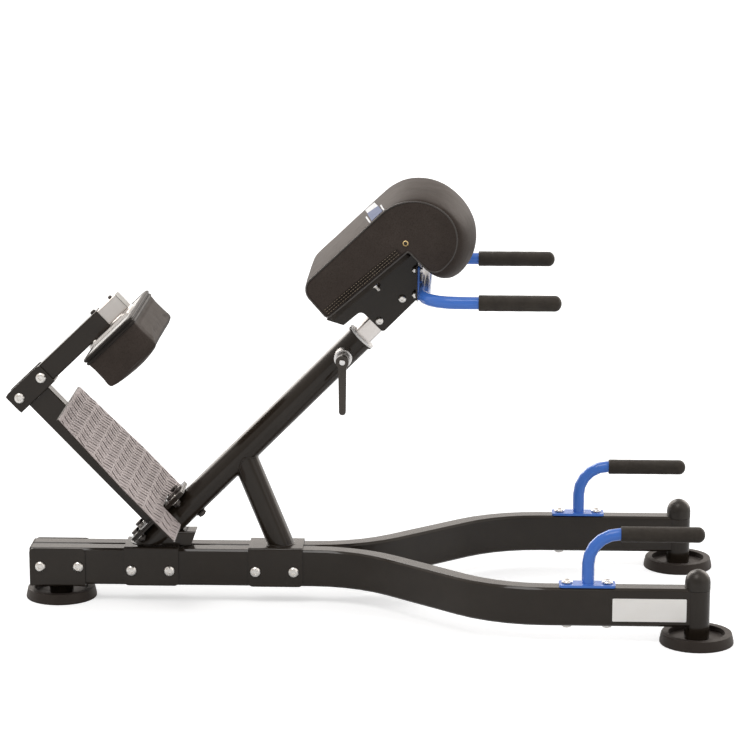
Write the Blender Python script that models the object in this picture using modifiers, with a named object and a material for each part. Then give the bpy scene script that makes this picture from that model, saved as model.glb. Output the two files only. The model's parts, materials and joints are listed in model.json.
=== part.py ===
"""Hyperextension bench with a 45 degree main tube, a sliding hip pad and a sliding ankle pad.

The bench stands on Z = 0 and its length runs along X, the user's feet at the low end. Sizes are in
metres. Positions along X count from the rear ends of the base rails, and the last step shifts the whole
bench so that the middle of its length is X = 0.
"""

import math

import bmesh
import bpy
from mathutils import Matrix, Vector

BENCH = "hyperextension_bench"

# Gaps
CLEAR = 0.0003             # between pieces that touch or are welded together
HOLE_GAP = 0.0004          # round a bolt's shank
TUBE_GAP = 0.0006          # between a cap's plug and the tube it is pressed into

# Base rails
RAIL_W = 0.035
RAIL_H = 0.070
RAIL_WALL = 0.002
RAIL_CORNER = 0.004
RAIL_SEAM = 0.0006
RAIL_BOTTOM = 0.032
RAIL_START = 0.003
RAIL_FRONT_Y = 0.2425
BEND_START = 0.525
BEND_R = 0.226
BEND_ANGLE = math.radians(41.2)
BEND_STEPS = 5

# Front posts and feet
POST_X = 1.220
POST_R = 0.0225
POST_WALL = 0.002
POST_TOP = 0.098
CAP_R = 0.02275
CAP_SKIRT = 0.013
PLUG_DEPTH = 0.015
FOOT_R = 0.0657
FOOT_TOP_R = 0.0625
FOOT_H = 0.019
FOOT_RECESS_R = 0.050
FOOT_FLOOR = 0.009
REAR_FOOT_X = 0.0535

# Rear bracket and saddles, all round both rails
GAUGE = 0.003
REAR_LENGTH = 0.104
REAR_BOLTS = (0.0204, 0.0911)
REAR_BOLT_Z = 0.067
SADDLE_LENGTH = 0.101
SADDLE_TOP_T = 0.0037
SADDLE_BOTTOM = 0.032
SADDLE_BOLT_Z = 0.061
SADDLE_BOLTS = (0.0132, 0.0840)
MAIN_SADDLE_X = 0.1767
STRUT_SADDLE_X = 0.4072
BRACKET_CORNER = 0.008

# Through-bolts with low domed heads
BOLT_R = 0.005
HEAD_R = 0.010
HEAD_H = 0.0048
NUT_R = 0.009
NUT_H = 0.0065

# Main tube, with its flange, bushing and lock boss
TUBE_R = 0.025
TUBE_WALL = 0.0018
TUBE_LENGTH = 0.551
TUBE_TILT = math.radians(45)
TUBE_FOOT_X = 0.2227
FLANGE_R = 0.028
FLANGE_T = 0.003
BUSH_LIP = 0.004
BUSH_SLEEVE = 0.020
BUSH_GAP = 0.00025
LOCK_DOWN = 0.040
BOSS_R = 0.0165
BOSS_LENGTH = 0.022

# Strut and the wedge in front of the main tube's foot
STRUT_R = 0.024
STRUT_WALL = 0.0018
STRUT_X = 0.4654
STRUT_LEAN = math.radians(22)
WEDGE_HALF = 0.021
WEDGE_H = 0.025
WEDGE_TOP_X = 0.309
WEDGE_FOOT_X = 0.300

# Base handles
BASE_PLATE_X = 0.975
BASE_PLATE_L = 0.100
BASE_PLATE_W = 0.034
BASE_PLATE_T = 0.0045
BASE_BOLT_INSET = 0.0145
HANDLE_R = 0.011
HANDLE_WALL = 0.0015
BASE_HANDLE_X = 1.0263
BASE_HANDLE_Z = 0.197
BASE_HANDLE_BEND = 0.055
BASE_GRIP_X = 1.083
BASE_GRIP_L = 0.148
GRIP_R = 0.014
GRIP_END = 0.008

# Foot post, mating plates and foot plate
POST_AT = 0.048            # along the main tube from its foot
POST_TILT = math.radians(43.6)
FOOT_POST_U = 0.050
FOOT_POST_Y = 0.030
FOOT_POST_WALL = 0.002
FOOT_POST_LENGTH = 0.3057
MATE_T = 0.004
MATE_LOW = -0.012
MATE_HIGH = 0.1195
MATE_HALF = 0.042
MATE_BOLT_AT = (0.003, 0.096)
MATE_BOLT_Y = 0.030
MATE_BOLT_R = 0.004
CROSS_BOLT_AT = 0.108
FOOT_PLATE_T = 0.0025
FOOT_PLATE_LOW = 0.0022     # top of the notch that straddles the main tube
FOOT_PLATE_L = 0.258
FOOT_PLATE_W = 0.318
FOOT_PLATE_TOP_W = 0.274
FOOT_PLATE_EVEN = 0.090     # above this height it narrows
FOOT_PLATE_DOWN = 0.048     # the two ends beside the main tube
FOOT_NOTCH_HALF = 0.045
TREAD_T = 0.0015
TREAD_MARGIN = 0.002

# Ankle bracket, arm and slider
ARM = 0.038
ARM_WALL = 0.0018
ARM_CORNER = 0.0035
ARM_BACK = -0.042
ARM_FRONT = 0.191
ARM_LIP = 0.003
SHORT_PLUG_DEPTH = 0.010
BRACKET_HALF = 0.044
BRACKET_SIDE = 0.043
BRACKET_BOLTS = (-0.0262, 0.0295)
SET_SCREW_U = 0.181
SET_SCREW_R = 0.004
SET_HEAD_R = 0.006
SET_HEAD_H = 0.005
SLIDER = 0.0335
SLIDER_WALL = 0.0018
SLIDER_CORNER = 0.0035
ANKLE_TUBE_BACK = 0.066
ANKLE_TUBE_FRONT = 0.2365
ANKLE_CAP_T = 0.0012
STOP_SCREW_U = 0.2232
STOP_R = 0.003
STOP_HEAD_R = 0.004
STOP_HEAD_H = 0.0055
ANKLE_PLATE_U = 0.138
ANKLE_PLATE_L = 0.098
ANKLE_PLATE_HALF = 0.040
ANKLE_PLATE_T = 0.005
ANKLE_PLATE_SCREW_Y = 0.030
ANKLE_PLATE_SCREW_INSET = 0.014
ANKLE_WELD_U = 0.2195
SMALL_SCREW_R = 0.0025
ANKLE_BOARD_T = 0.008
ANKLE_BOARD_INSET = 0.004
ANKLE_PAD_U = 0.137
ANKLE_PAD_L = 0.1165
ANKLE_PAD_W = 0.269
ANKLE_PAD_T = 0.0615
ANKLE_PAD_CROWN = 0.0110
ANKLE_END_DROP = 0.50       # how far the crown falls to the ends, and to the sides
ANKLE_SIDE_DROP = 0.30
ANKLE_PAD_CORNER = 0.010

# Hip carriage: tube, side plates, board and pad
HIP_TUBE_CLEAR = 0.076       # from the post's cross bolt up to the sliding tube
HIP_TUBE_TOP = 0.128
HIP_GUIDE_L = 0.030
HIP_GUIDE_SPIGOT = 0.015
SIDE_T = 0.004
SIDE_LOW = -0.0195
SIDE_BACK = 0.042
SIDE_FRONT_LOW = 0.131
SIDE_FRONT = 0.182
SIDE_TAIL = -0.016
SIDE_TAIL_LOW = 0.040
SIDE_STEP = 0.0365
SIDE_BOLTS = (0.0525, 0.111)
SIDE_BOLT_R = 0.004
SIDE_HEAD_R = 0.0075
SIDE_HEAD_H = 0.004
SIDE_FLANGE_T = 0.003
SIDE_FLANGE_OUT = 0.055
SIDE_FLANGE_LOW = 0.027
SIDE_FLANGE_HIGH = 0.175
PAD_TILT = math.radians(4.5)
PAD_LOW = (0.0054, 0.0817)
BOARD_T = 0.012
BOARD_L = 0.183
BOARD_INSET = 0.003
BOARD_HALF = 0.115
STUD_AT = 0.098
STUD_Y = 0.040
STUD_R = 0.004
PAD_WIDTH = 0.280
PAD_THICK = 0.0745
PAD_LEAN = 0.0046
PAD_FRONT = 0.2930
PAD_TOP_DROP = 0.009
PAD_NOTCH = 0.1935
ROLL_BOTTOM = -0.0020
ROLL_TOP_R = 0.085
ROLL_FRONT_R = 0.066
ROLL_BACK_R = 0.022
PAD_TAIL_R = 0.025
ROLL_CROWN = 0.019
ROLL_LOW_CROWN = 0.038
ROLL_BACK_SHARE = 0.3
ROLL_TOP_SHARE = 0.7
TOP_CROWN = 0.0015

# Hip handle and the plate that carries it
HANDLE_PLATE_T = 0.004
HANDLE_PLATE_HALF = 0.042
HANDLE_PLATE_UP = 0.0789
HANDLE_PLATE_H = 0.063
HANDLE_BOLT_Y = 0.032
HANDLE_BOLT_R = 0.003
HANDLE_BOLT_INSET = 0.009
HANDLE_WELD = 0.0007
HIP_HANDLE_Y = 0.2247
HIP_HANDLE_BEND = 0.060
HIP_GRIP_OUT = 0.1102
HIP_GRIP_L = 0.1445

# Lock: a clamping screw turned by a lever
LOCK_SCREW_R = 0.005
LOCK_COLLAR_R = 0.009
LOCK_COLLAR_T = 0.004
LOCK_OUT = 0.006
LEVER_HUB_R = 0.012
LEVER_HUB_T = 0.022
LEVER_LENGTH = 0.099
LEVER_ROOT_W = 0.015
LEVER_TIP_W = 0.0125
LEVER_T = 0.008
LOCK_HEAD_R = 0.0055
LOCK_HEAD_T = 0.003

# Places worked out from the sizes above
RAIL_BACK_Y = (RAIL_W + RAIL_SEAM) / 2
RAIL_TOP = RAIL_BOTTOM + RAIL_H
BRACKET_INNER = RAIL_W + RAIL_SEAM / 2 + CLEAR
BRACKET_OUTER = BRACKET_INNER + GAUGE
SADDLE_TOP = RAIL_TOP + CLEAR + SADDLE_TOP_T
BEND_SHIFT = RAIL_FRONT_Y - RAIL_BACK_Y
BEND_STRAIGHT = (BEND_SHIFT - 2 * BEND_R * (1 - math.cos(BEND_ANGLE))) / math.sin(BEND_ANGLE)
BEND_END = BEND_START + 2 * BEND_R * math.sin(BEND_ANGLE) + BEND_STRAIGHT * math.cos(BEND_ANGLE)
ALONG = Vector((math.cos(TUBE_TILT), 0, math.sin(TUBE_TILT)))
ABOVE = Vector((-math.sin(TUBE_TILT), 0, math.cos(TUBE_TILT)))
TUBE_FOOT = Vector((TUBE_FOOT_X, 0, SADDLE_TOP))
TUBE_TOP = TUBE_FOOT + TUBE_LENGTH * ALONG
TUBE_BORE_R = TUBE_R - TUBE_WALL
FLANGE_TOP = TUBE_R + 2 * (CLEAR + MATE_T)
POST_FOOT = TUBE_FOOT + POST_AT * ALONG + FLANGE_TOP * ABOVE
POST_U = Vector((math.cos(POST_TILT), 0, math.sin(POST_TILT)))
POST_T = Vector((-math.sin(POST_TILT), 0, math.cos(POST_TILT)))
BRACKET_BASE = FOOT_POST_LENGTH + CLEAR
ARM_BOTTOM = BRACKET_BASE + GAUGE + CLEAR
ARM_AXIS = ARM_BOTTOM + ARM / 2
ARM_TOP = ARM_BOTTOM + ARM
SLIDER_TOP = ARM_AXIS + SLIDER / 2
ANKLE_PLATE_TOP = ARM_BOTTOM - CLEAR
ANKLE_BOARD_TOP = ANKLE_PLATE_TOP - ANKLE_PLATE_T - CLEAR
ANKLE_PAD_TOP = ANKLE_BOARD_TOP - ANKLE_BOARD_T - CLEAR
SIDE_INNER = SLIDER / 2 + CLEAR
SIDE_OUTER = SIDE_INNER + SIDE_T
FRONT_EDGE = SIDE_FRONT_LOW - SIDE_LOW
FRONT_X = TUBE_TOP.x + FRONT_EDGE * math.cos(TUBE_TILT)
HIP_TUBE_LOW = CROSS_BOLT_AT + HIP_TUBE_CLEAR - TUBE_LENGTH
HANDLE_PLATE_LOW = TUBE_TOP.z + HANDLE_PLATE_UP
HANDLE_PLATE_TOP = HANDLE_PLATE_LOW + HANDLE_PLATE_H
HIP_HANDLE_Z = HANDLE_PLATE_LOW + HANDLE_PLATE_H / 2
HIP_GRIP_X = FRONT_X + HIP_GRIP_OUT
LOCK_AT = -LOCK_DOWN
LOCK_TIP = SLIDER / 2 + CLEAR
BOSS_FACE = TUBE_R + BOSS_LENGTH
REAR_EDGE = POST_FOOT + (ARM_BACK - CLEAR - ARM_LIP) * POST_U + ARM_TOP * POST_T
MIDDLE_X = (POST_X + FOOT_R + REAR_EDGE.x) / 2

SECTION_AXES = {
    "X": Matrix(((0, 0, 1), (1, 0, 0), (0, 1, 0))).to_4x4(),
    "Y": Matrix(((1, 0, 0), (0, 0, -1), (0, 1, 0))).to_4x4(),
    "Z": Matrix.Identity(4),
}


def clear_scene():
    """Remove the objects that the file opened with."""
    for item in list(bpy.data.objects):
        bpy.data.objects.remove(item, do_unlink=True)


def new_collection(name):
    group = bpy.data.collections.new(name)
    bpy.context.scene.collection.children.link(group)
    return group


clear_scene()
PARTS = new_collection(BENCH)
CUTTERS = new_collection("cutters")


def finish_material(name, color, roughness, metallic):
    """A plain finish in one colour."""
    material = bpy.data.materials.new(name)
    material.use_nodes = True
    shader = material.node_tree.nodes["Principled BSDF"]
    shader.inputs["Base Color"].default_value = (*color, 1)
    shader.inputs["Roughness"].default_value = roughness
    shader.inputs["Metallic"].default_value = metallic
    return material


FINISHES = {
    "black_coat": ((0.030, 0.028, 0.026), 0.42, 0.0),
    "blue_coat": ((0.045, 0.160, 0.560), 0.35, 0.0),
    "bright_tube": ((0.72, 0.70, 0.68), 0.28, 0.9),
    "zinc": ((0.70, 0.70, 0.70), 0.32, 0.95),
    "chrome": ((0.80, 0.80, 0.80), 0.12, 1.0),
    "rubber": ((0.022, 0.022, 0.023), 0.80, 0.0),
    "grip_foam": ((0.025, 0.024, 0.023), 0.85, 0.0),
    "vinyl": ((0.040, 0.034, 0.031), 0.50, 0.0),
    "black_plastic": ((0.020, 0.020, 0.020), 0.50, 0.0),
    "white_plastic": ((0.80, 0.80, 0.79), 0.45, 0.0),
    "plywood": ((0.050, 0.045, 0.040), 0.70, 0.0),
    "tread": ((0.40, 0.37, 0.35), 0.75, 0.0),
}


def frame(name, location, tilt, parent=None):
    """An empty whose X axis is tilted up from the world's X axis."""
    empty = bpy.data.objects.new(name, None)
    PARTS.objects.link(empty)
    empty.location = location
    empty.rotation_euler = (0, -tilt, 0)
    empty.parent = parent
    return empty


def tidy(mesh):
    """Weld the loose caps, and point all faces outwards."""
    work = bmesh.new()
    work.from_mesh(mesh)
    bmesh.ops.remove_doubles(work, verts=work.verts, dist=0.00001)
    bmesh.ops.recalc_face_normals(work, faces=work.faces)
    work.to_mesh(mesh)
    work.free()
    return mesh


def evaluated(item):
    """The mesh of an object with its modifiers. The object itself is removed."""
    bpy.context.scene.collection.objects.link(item)
    bpy.context.view_layer.update()
    graph = bpy.context.evaluated_depsgraph_get()
    mesh = bpy.data.meshes.new_from_object(item.evaluated_get(graph), depsgraph=graph)
    bpy.data.objects.remove(item, do_unlink=True)
    return tidy(mesh)


def rounded(corners, steps=4):
    """A closed outline from corners (a, b, radius), each rounded by an arc that touches both sides."""
    outline = []
    count = len(corners)
    for index, (a, b, radius) in enumerate(corners):
        corner = Vector((a, b))
        before = (Vector(corners[index - 1][:2]) - corner).normalized()
        after = (Vector(corners[(index + 1) % count][:2]) - corner).normalized()
        if radius <= 0:
            outline.append((a, b))
            continue
        half = before.angle(after) / 2
        centre = corner + (before + after).normalized() * (radius / math.sin(half))
        start = corner + before * (radius / math.tan(half)) - centre
        sweep = math.pi - 2 * half
        turn = 1 if before.x * after.y - before.y * after.x < 0 else -1
        for step in range(steps + 1):
            spin = Matrix.Rotation(turn * sweep * step / steps, 2)
            outline.append(tuple(centre + spin @ start))
    return outline


def rectangle(a0, a1, b0, b1, radius=0.0, steps=3):
    return rounded([(a0, b0, radius), (a1, b0, radius), (a1, b1, radius), (a0, b1, radius)], steps)


def square(side, radius, centre=0.0):
    """A square section with its middle at (0, centre)."""
    return rectangle(-side / 2, side / 2, centre - side / 2, centre + side / 2, radius)


def circle(radius, centre=(0, 0), sides=28):
    turn = 2 * math.pi / sides
    return [
        (centre[0] + radius * math.cos(turn * k), centre[1] + radius * math.sin(turn * k))
        for k in range(sides)
    ]


def prism(axis, loops, low, high):
    """A flat outline with its holes, extruded along one axis from low to high."""
    flat = bpy.data.curves.new("outline", "CURVE")
    flat.dimensions = "2D"
    flat.fill_mode = "BOTH"
    flat.extrude = (high - low) / 2
    for loop in loops:
        spline = flat.splines.new("POLY")
        spline.points.add(len(loop) - 1)
        for point, (a, b) in zip(spline.points, loop):
            point.co = (a, b, 0, 1)
        spline.use_cyclic_u = True
    mesh = evaluated(bpy.data.objects.new("outline", flat))
    bpy.data.curves.remove(flat)
    mesh.transform(SECTION_AXES[axis])
    middle = {"X": (1, 0, 0), "Y": (0, 1, 0), "Z": (0, 0, 1)}[axis]
    mesh.transform(Matrix.Translation(Vector(middle) * (low + high) / 2))
    return tidy(mesh)


def turned(profile, steps=24):
    """A profile (radius, height), from the top down its outer side, turned about Z."""
    mesh = bpy.data.meshes.new("turned")
    work = bmesh.new()
    points = [work.verts.new((radius, 0, height)) for radius, height in profile]
    for upper, lower in zip(points, points[1:]):
        work.edges.new((upper, lower))
    if profile[0][0] > 0:
        work.edges.new((points[-1], points[0]))
    work.to_mesh(mesh)
    work.free()
    item = bpy.data.objects.new("turned", mesh)
    screw = item.modifiers.new("turn", "SCREW")
    screw.axis = "Z"
    screw.steps = steps
    screw.render_steps = steps
    screw.use_merge_vertices = True
    screw.merge_threshold = 0.00001
    return evaluated(item)


def swept(points, radius, wall=0.0, resolution=5):
    """A round bar along a path, or a tube with open ends where it has a wall."""
    path = bpy.data.curves.new("path", "CURVE")
    path.dimensions = "3D"
    path.bevel_depth = radius
    path.bevel_resolution = resolution
    path.use_fill_caps = wall == 0
    spline = path.splines.new("POLY")
    spline.points.add(len(points) - 1)
    for point, place in zip(spline.points, points):
        point.co = (*place, 1)
    mesh = evaluated(bpy.data.objects.new("path", path))
    bpy.data.curves.remove(path)
    return walled(mesh, wall) if wall else mesh


def walled(mesh, wall):
    """Give an open surface its wall, on the inside."""
    item = bpy.data.objects.new("wall", mesh)
    shell = item.modifiers.new("wall", "SOLIDIFY")
    shell.thickness = wall
    shell.offset = -1
    shell.use_even_offset = True
    return evaluated(item)


def combined(operation, first, *others):
    """One closed mesh from the union, difference or intersection of several."""
    item = bpy.data.objects.new("first", first)
    extras = []
    for mesh in others:
        extra = bpy.data.objects.new("other", mesh)
        CUTTERS.objects.link(extra)
        extras.append(extra)
        step = item.modifiers.new("combine", "BOOLEAN")
        step.operation = operation
        step.solver = "EXACT"
        step.object = extra
    mesh = evaluated(item)
    for extra in extras:
        bpy.data.objects.remove(extra, do_unlink=True)
    return mesh


def moved(mesh, matrix):
    """A transformed copy of a mesh."""
    copy = mesh.copy()
    copy.transform(matrix)
    return copy


def gathered(meshes):
    """Several separate solids as the mesh of one node."""
    work = bmesh.new()
    for mesh in meshes:
        work.from_mesh(mesh)
    whole = bpy.data.meshes.new("gathered")
    work.to_mesh(whole)
    work.free()
    return whole


def lofted(rings):
    """Faces between rings of the same number of points, closed at both ends."""
    work = bmesh.new()
    loops = [[work.verts.new(point) for point in ring] for ring in rings]
    for lower, upper in zip(loops, loops[1:]):
        count = len(lower)
        for index in range(count):
            following = (index + 1) % count
            work.faces.new((lower[index], lower[following], upper[following], upper[index]))
    work.faces.new(loops[0])
    work.faces.new(loops[-1])
    mesh = bpy.data.meshes.new("loft")
    work.to_mesh(mesh)
    work.free()
    return tidy(mesh)


def node(name, mesh, finish, parent, location=(0, 0, 0)):
    """Place one piece of the bench, with a material of its own."""
    mesh.name = name
    mesh.materials.clear()
    mesh.materials.append(finish_material(name, *FINISHES[finish]))
    mesh.shade_smooth()
    mesh.set_sharp_from_angle(angle=math.radians(50))
    item = bpy.data.objects.new(name, mesh)
    PARTS.objects.link(item)
    item.parent = parent
    item.location = location
    return item


def cutter(name, mesh, parent):
    """A hidden solid that cuts others."""
    item = bpy.data.objects.new(name, mesh)
    CUTTERS.objects.link(item)
    item.parent = parent
    item.hide_render = True
    item.display_type = "WIRE"
    return item


def cut(item, tool):
    step = item.modifiers.new("cut_" + tool.name, "BOOLEAN")
    step.operation = "DIFFERENCE"
    step.solver = "EXACT"
    step.object = tool


def arc_path(corners, radius, steps=5):
    """A path in space through corners, each bend with the same radius."""
    points = [Vector(corners[0])]
    for back, corner, ahead in zip(corners, corners[1:], corners[2:]):
        corner = Vector(corner)
        before = (Vector(back) - corner).normalized()
        after = (Vector(ahead) - corner).normalized()
        half = before.angle(after) / 2
        centre = corner + (before + after).normalized() * (radius / math.sin(half))
        start = corner + before * (radius / math.tan(half)) - centre
        axis = before.cross(after).normalized()
        sweep = math.pi - 2 * half
        for step in range(steps + 1):
            points.append(centre + Matrix.Rotation(-sweep * step / steps, 3, axis) @ start)
    points.append(Vector(corners[-1]))
    return points


def hex_nut(radius, top, height):
    """A six-sided nut below the height given as its top."""
    return prism("Z", [circle(radius, sides=6)], top - height, top)


def dome_bolt(grip, radius=BOLT_R, head_r=HEAD_R, head_h=HEAD_H, nut_r=NUT_R, nut_h=NUT_H):
    """A bolt along Z. Its domed head rests on Z = 0 and its nut holds the far side of the grip."""
    end = -grip - CLEAR
    profile = [
        (0, CLEAR + head_h),
        (head_r * 0.62, CLEAR + head_h * 0.82),
        (head_r, CLEAR + head_h * 0.20),
        (head_r, CLEAR),
        (radius, CLEAR),
        (radius, end - nut_h * 0.5),
        (0, end - nut_h * 0.5),
    ]
    return combined("UNION", turned(profile, 12), hex_nut(nut_r, end, nut_h))


def pan_screw(length, radius, head_r, head_h):
    """A short screw along Z, its head on Z = 0."""
    profile = [
        (0, CLEAR + head_h),
        (head_r * 0.7, CLEAR + head_h * 0.85),
        (head_r, CLEAR + head_h * 0.4),
        (head_r, CLEAR),
        (radius, CLEAR),
        (radius, -length),
        (0, -length),
    ]
    return turned(profile, 12)


# The directions in which bolts are placed, head first
HEAD_NEAR = Matrix.Rotation(math.radians(90), 4, "X")
HEAD_UP = Matrix.Identity(4)
HEAD_FRONT = Matrix.Rotation(math.radians(90), 4, "Y")


def place(x, y, z, turn=HEAD_UP):
    return Matrix.Translation((x, y, z)) @ turn


def rod(x, y, z, turn, radius, length, sides=12):
    """A cutting rod centred on a point, along the direction that a bolt would have."""
    return moved(prism("Z", [circle(radius, sides=sides)], -length / 2, length / 2), place(x, y, z, turn))


def channel(section, silhouette, x_range, holes=()):
    """A bent channel: its section along X, kept where its side view covers it."""
    blank = prism("X", [section], *x_range)
    reach = max(abs(a) for a, b in section) * 2
    return combined("INTERSECT", blank, prism("Y", [silhouette, *holes], -reach, reach))


def saddle_bolts(start):
    return [start + offset for offset in SADDLE_BOLTS]


def rail_path(side):
    """Middle line of one rail: straight, an S-bend outwards, and straight on to its post."""
    height = RAIL_BOTTOM + RAIL_H / 2
    points = [(RAIL_START, RAIL_BACK_Y)]
    for step in range(BEND_STEPS + 1):
        turn = BEND_ANGLE * step / BEND_STEPS
        points.append((BEND_START + BEND_R * math.sin(turn), RAIL_BACK_Y + BEND_R * (1 - math.cos(turn))))
    for step in range(BEND_STEPS, -1, -1):
        turn = BEND_ANGLE * step / BEND_STEPS
        points.append((BEND_END - BEND_R * math.sin(turn), RAIL_FRONT_Y - BEND_R * (1 - math.cos(turn))))
    points.append((POST_X - POST_R / 2, RAIL_FRONT_Y))
    return [(x, side * y, height) for x, y in points]


def rail_mesh(side):
    """A rectangular tube swept along its rail path."""
    outline = bpy.data.curves.new("section", "CURVE")
    outline.dimensions = "2D"
    corners = rectangle(-RAIL_W / 2, RAIL_W / 2, -RAIL_H / 2, RAIL_H / 2, RAIL_CORNER, 1)
    spline = outline.splines.new("POLY")
    spline.points.add(len(corners) - 1)
    for point, (a, b) in zip(spline.points, corners):
        point.co = (a, b, 0, 1)
    spline.use_cyclic_u = True
    section = bpy.data.objects.new("section", outline)
    CUTTERS.objects.link(section)
    path = bpy.data.curves.new("rail", "CURVE")
    path.dimensions = "3D"
    path.twist_mode = "Z_UP"
    path.bevel_mode = "OBJECT"
    path.bevel_object = section
    places = rail_path(side)
    spline = path.splines.new("POLY")
    spline.points.add(len(places) - 1)
    for point, spot in zip(spline.points, places):
        point.co = (*spot, 1)
    mesh = evaluated(bpy.data.objects.new("rail", path))
    bpy.data.objects.remove(section, do_unlink=True)
    bpy.data.curves.remove(path)
    bpy.data.curves.remove(outline)
    return walled(mesh, RAIL_WALL)


def plug(side_a, side_b, wall, lip, depth, corner):
    """A push-in end plug: a lip the size of the tube with its spigot behind it, along +X."""
    inner_a = side_a / 2 - wall - TUBE_GAP / 2
    inner_b = side_b / 2 - wall - TUBE_GAP / 2
    face = prism("X", [rectangle(-side_a / 2, side_a / 2, -side_b / 2, side_b / 2, corner)], -lip, 0)
    spigot = prism("X", [rectangle(-inner_a, inner_a, -inner_b, inner_b, corner * 1.15)], -lip / 2, depth)
    return combined("UNION", face, spigot)


def build_rails(base):
    """Both rails with the posts welded to their front ends, cut for their bolts."""
    rods = [rod(x, 0, REAR_BOLT_Z, HEAD_NEAR, BOLT_R + HOLE_GAP, RAIL_W * 3) for x in REAR_BOLTS]
    for start in (MAIN_SADDLE_X, STRUT_SADDLE_X):
        for x in saddle_bolts(start):
            rods.append(rod(x, 0, SADDLE_BOLT_Z, HEAD_NEAR, BOLT_R + HOLE_GAP, RAIL_W * 3))
    across = cutter("rail_bolt_holes", gathered(rods), base)
    for name, side in (("rail_right", -1), ("rail_left", 1)):
        y = side * RAIL_FRONT_Y
        cope = prism("Z", [circle(POST_R - POST_WALL / 2, (POST_X, y))], 0, RAIL_TOP * 2)
        cap_room = prism("Z", [circle(CAP_R + CLEAR, (POST_X, y))], POST_TOP, RAIL_TOP * 2)
        pipe = [circle(POST_R, (POST_X, y)), circle(POST_R - POST_WALL, (POST_X, y))]
        post = prism("Z", pipe, FOOT_FLOOR + CLEAR, POST_TOP)
        bar = combined("DIFFERENCE", rail_mesh(side), cope, cap_room)
        rail = node(name, combined("UNION", bar, post), "black_coat", base)
        drops = [rod(x, y, RAIL_BOTTOM, HEAD_UP, BOLT_R + HOLE_GAP, RAIL_H * 4) for x in base_bolts()]
        cut(rail, across)
        cut(rail, cutter(name + "_bolt_holes", gathered(drops), base))


def build_end_plugs(base, post):
    """Plugs in the rear ends of the rails and of the ankle arm."""
    rail_plug = plug(RAIL_W - TUBE_GAP, RAIL_H - TUBE_GAP, RAIL_WALL, RAIL_START - CLEAR,
                     SHORT_PLUG_DEPTH, RAIL_CORNER)
    middle = RAIL_BOTTOM + RAIL_H / 2
    for label, y in (("right", -RAIL_BACK_Y), ("left", RAIL_BACK_Y)):
        node("rail_plug_" + label, rail_plug.copy(), "black_plastic", base, (RAIL_START - CLEAR, y, middle))
    arm_plug = plug(ARM, ARM, ARM_WALL, ARM_LIP, SHORT_PLUG_DEPTH, ARM_CORNER)
    node("arm_plug", arm_plug, "black_plastic", post, (ARM_BACK - CLEAR, 0, ARM_AXIS))


def build_rear_bracket(base):
    """U-channel that holds the rails from below, over the rear foot."""
    outer = RAIL_BOTTOM - CLEAR - GAUGE
    section = rounded([
        (-BRACKET_OUTER, RAIL_TOP, 0), (-BRACKET_OUTER, outer, GAUGE * 1.4),
        (BRACKET_OUTER, outer, GAUGE * 1.4), (BRACKET_OUTER, RAIL_TOP, 0),
        (BRACKET_INNER, RAIL_TOP, 0), (BRACKET_INNER, outer + GAUGE, 0),
        (-BRACKET_INNER, outer + GAUGE, 0), (-BRACKET_INNER, RAIL_TOP, 0),
    ])
    side_view = rounded([
        (0, outer, 0), (REAR_LENGTH, outer, 0),
        (REAR_LENGTH, RAIL_TOP, BRACKET_CORNER), (0, RAIL_TOP, BRACKET_CORNER),
    ])
    holes = [circle(BOLT_R + HOLE_GAP, (x, REAR_BOLT_Z), 12) for x in REAR_BOLTS]
    mesh = channel(section, side_view, (-GAUGE, REAR_LENGTH + GAUGE), holes)
    middle = (REAR_FOOT_X, 0)
    pipe = [circle(POST_R, middle), circle(POST_R - POST_WALL, middle)]
    stand = prism("Z", pipe, FOOT_FLOOR + CLEAR, outer + GAUGE / 2)
    node("rear_bracket", combined("UNION", mesh, stand), "black_coat", base)


def saddle_mesh(start):
    """Inverted U-channel over both rails."""
    under = SADDLE_TOP - SADDLE_TOP_T
    section = rounded([
        (BRACKET_OUTER, SADDLE_BOTTOM, 0), (BRACKET_OUTER, SADDLE_TOP, GAUGE * 1.4),
        (-BRACKET_OUTER, SADDLE_TOP, GAUGE * 1.4), (-BRACKET_OUTER, SADDLE_BOTTOM, 0),
        (-BRACKET_INNER, SADDLE_BOTTOM, 0), (-BRACKET_INNER, under, 0),
        (BRACKET_INNER, under, 0), (BRACKET_INNER, SADDLE_BOTTOM, 0),
    ])
    end = start + SADDLE_LENGTH
    side_view = rounded([
        (start, SADDLE_BOTTOM, BRACKET_CORNER), (end, SADDLE_BOTTOM, BRACKET_CORNER),
        (end, SADDLE_TOP, 0), (start, SADDLE_TOP, 0),
    ])
    holes = [circle(BOLT_R + HOLE_GAP, (x, SADDLE_BOLT_Z), 12) for x in saddle_bolts(start)]
    return channel(section, side_view, (start - GAUGE, end + GAUGE), holes)


def build_saddle(base):
    """The saddle under the main tube, and the bolts that run across both rails."""
    node("main_saddle", saddle_mesh(MAIN_SADDLE_X), "black_coat", base)
    bolt = dome_bolt(2 * BRACKET_OUTER)
    rows = (
        ("rear_bolt", REAR_BOLTS, REAR_BOLT_Z),
        ("saddle_bolt", saddle_bolts(MAIN_SADDLE_X), SADDLE_BOLT_Z),
        ("strut_bolt", saddle_bolts(STRUT_SADDLE_X), SADDLE_BOLT_Z),
    )
    for name, row, z in rows:
        for label, x in zip(("back", "front"), row):
            mesh = moved(bolt, HEAD_NEAR)
            node(name + "_" + label, mesh, "zinc", base, (x, -BRACKET_OUTER, z))


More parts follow.
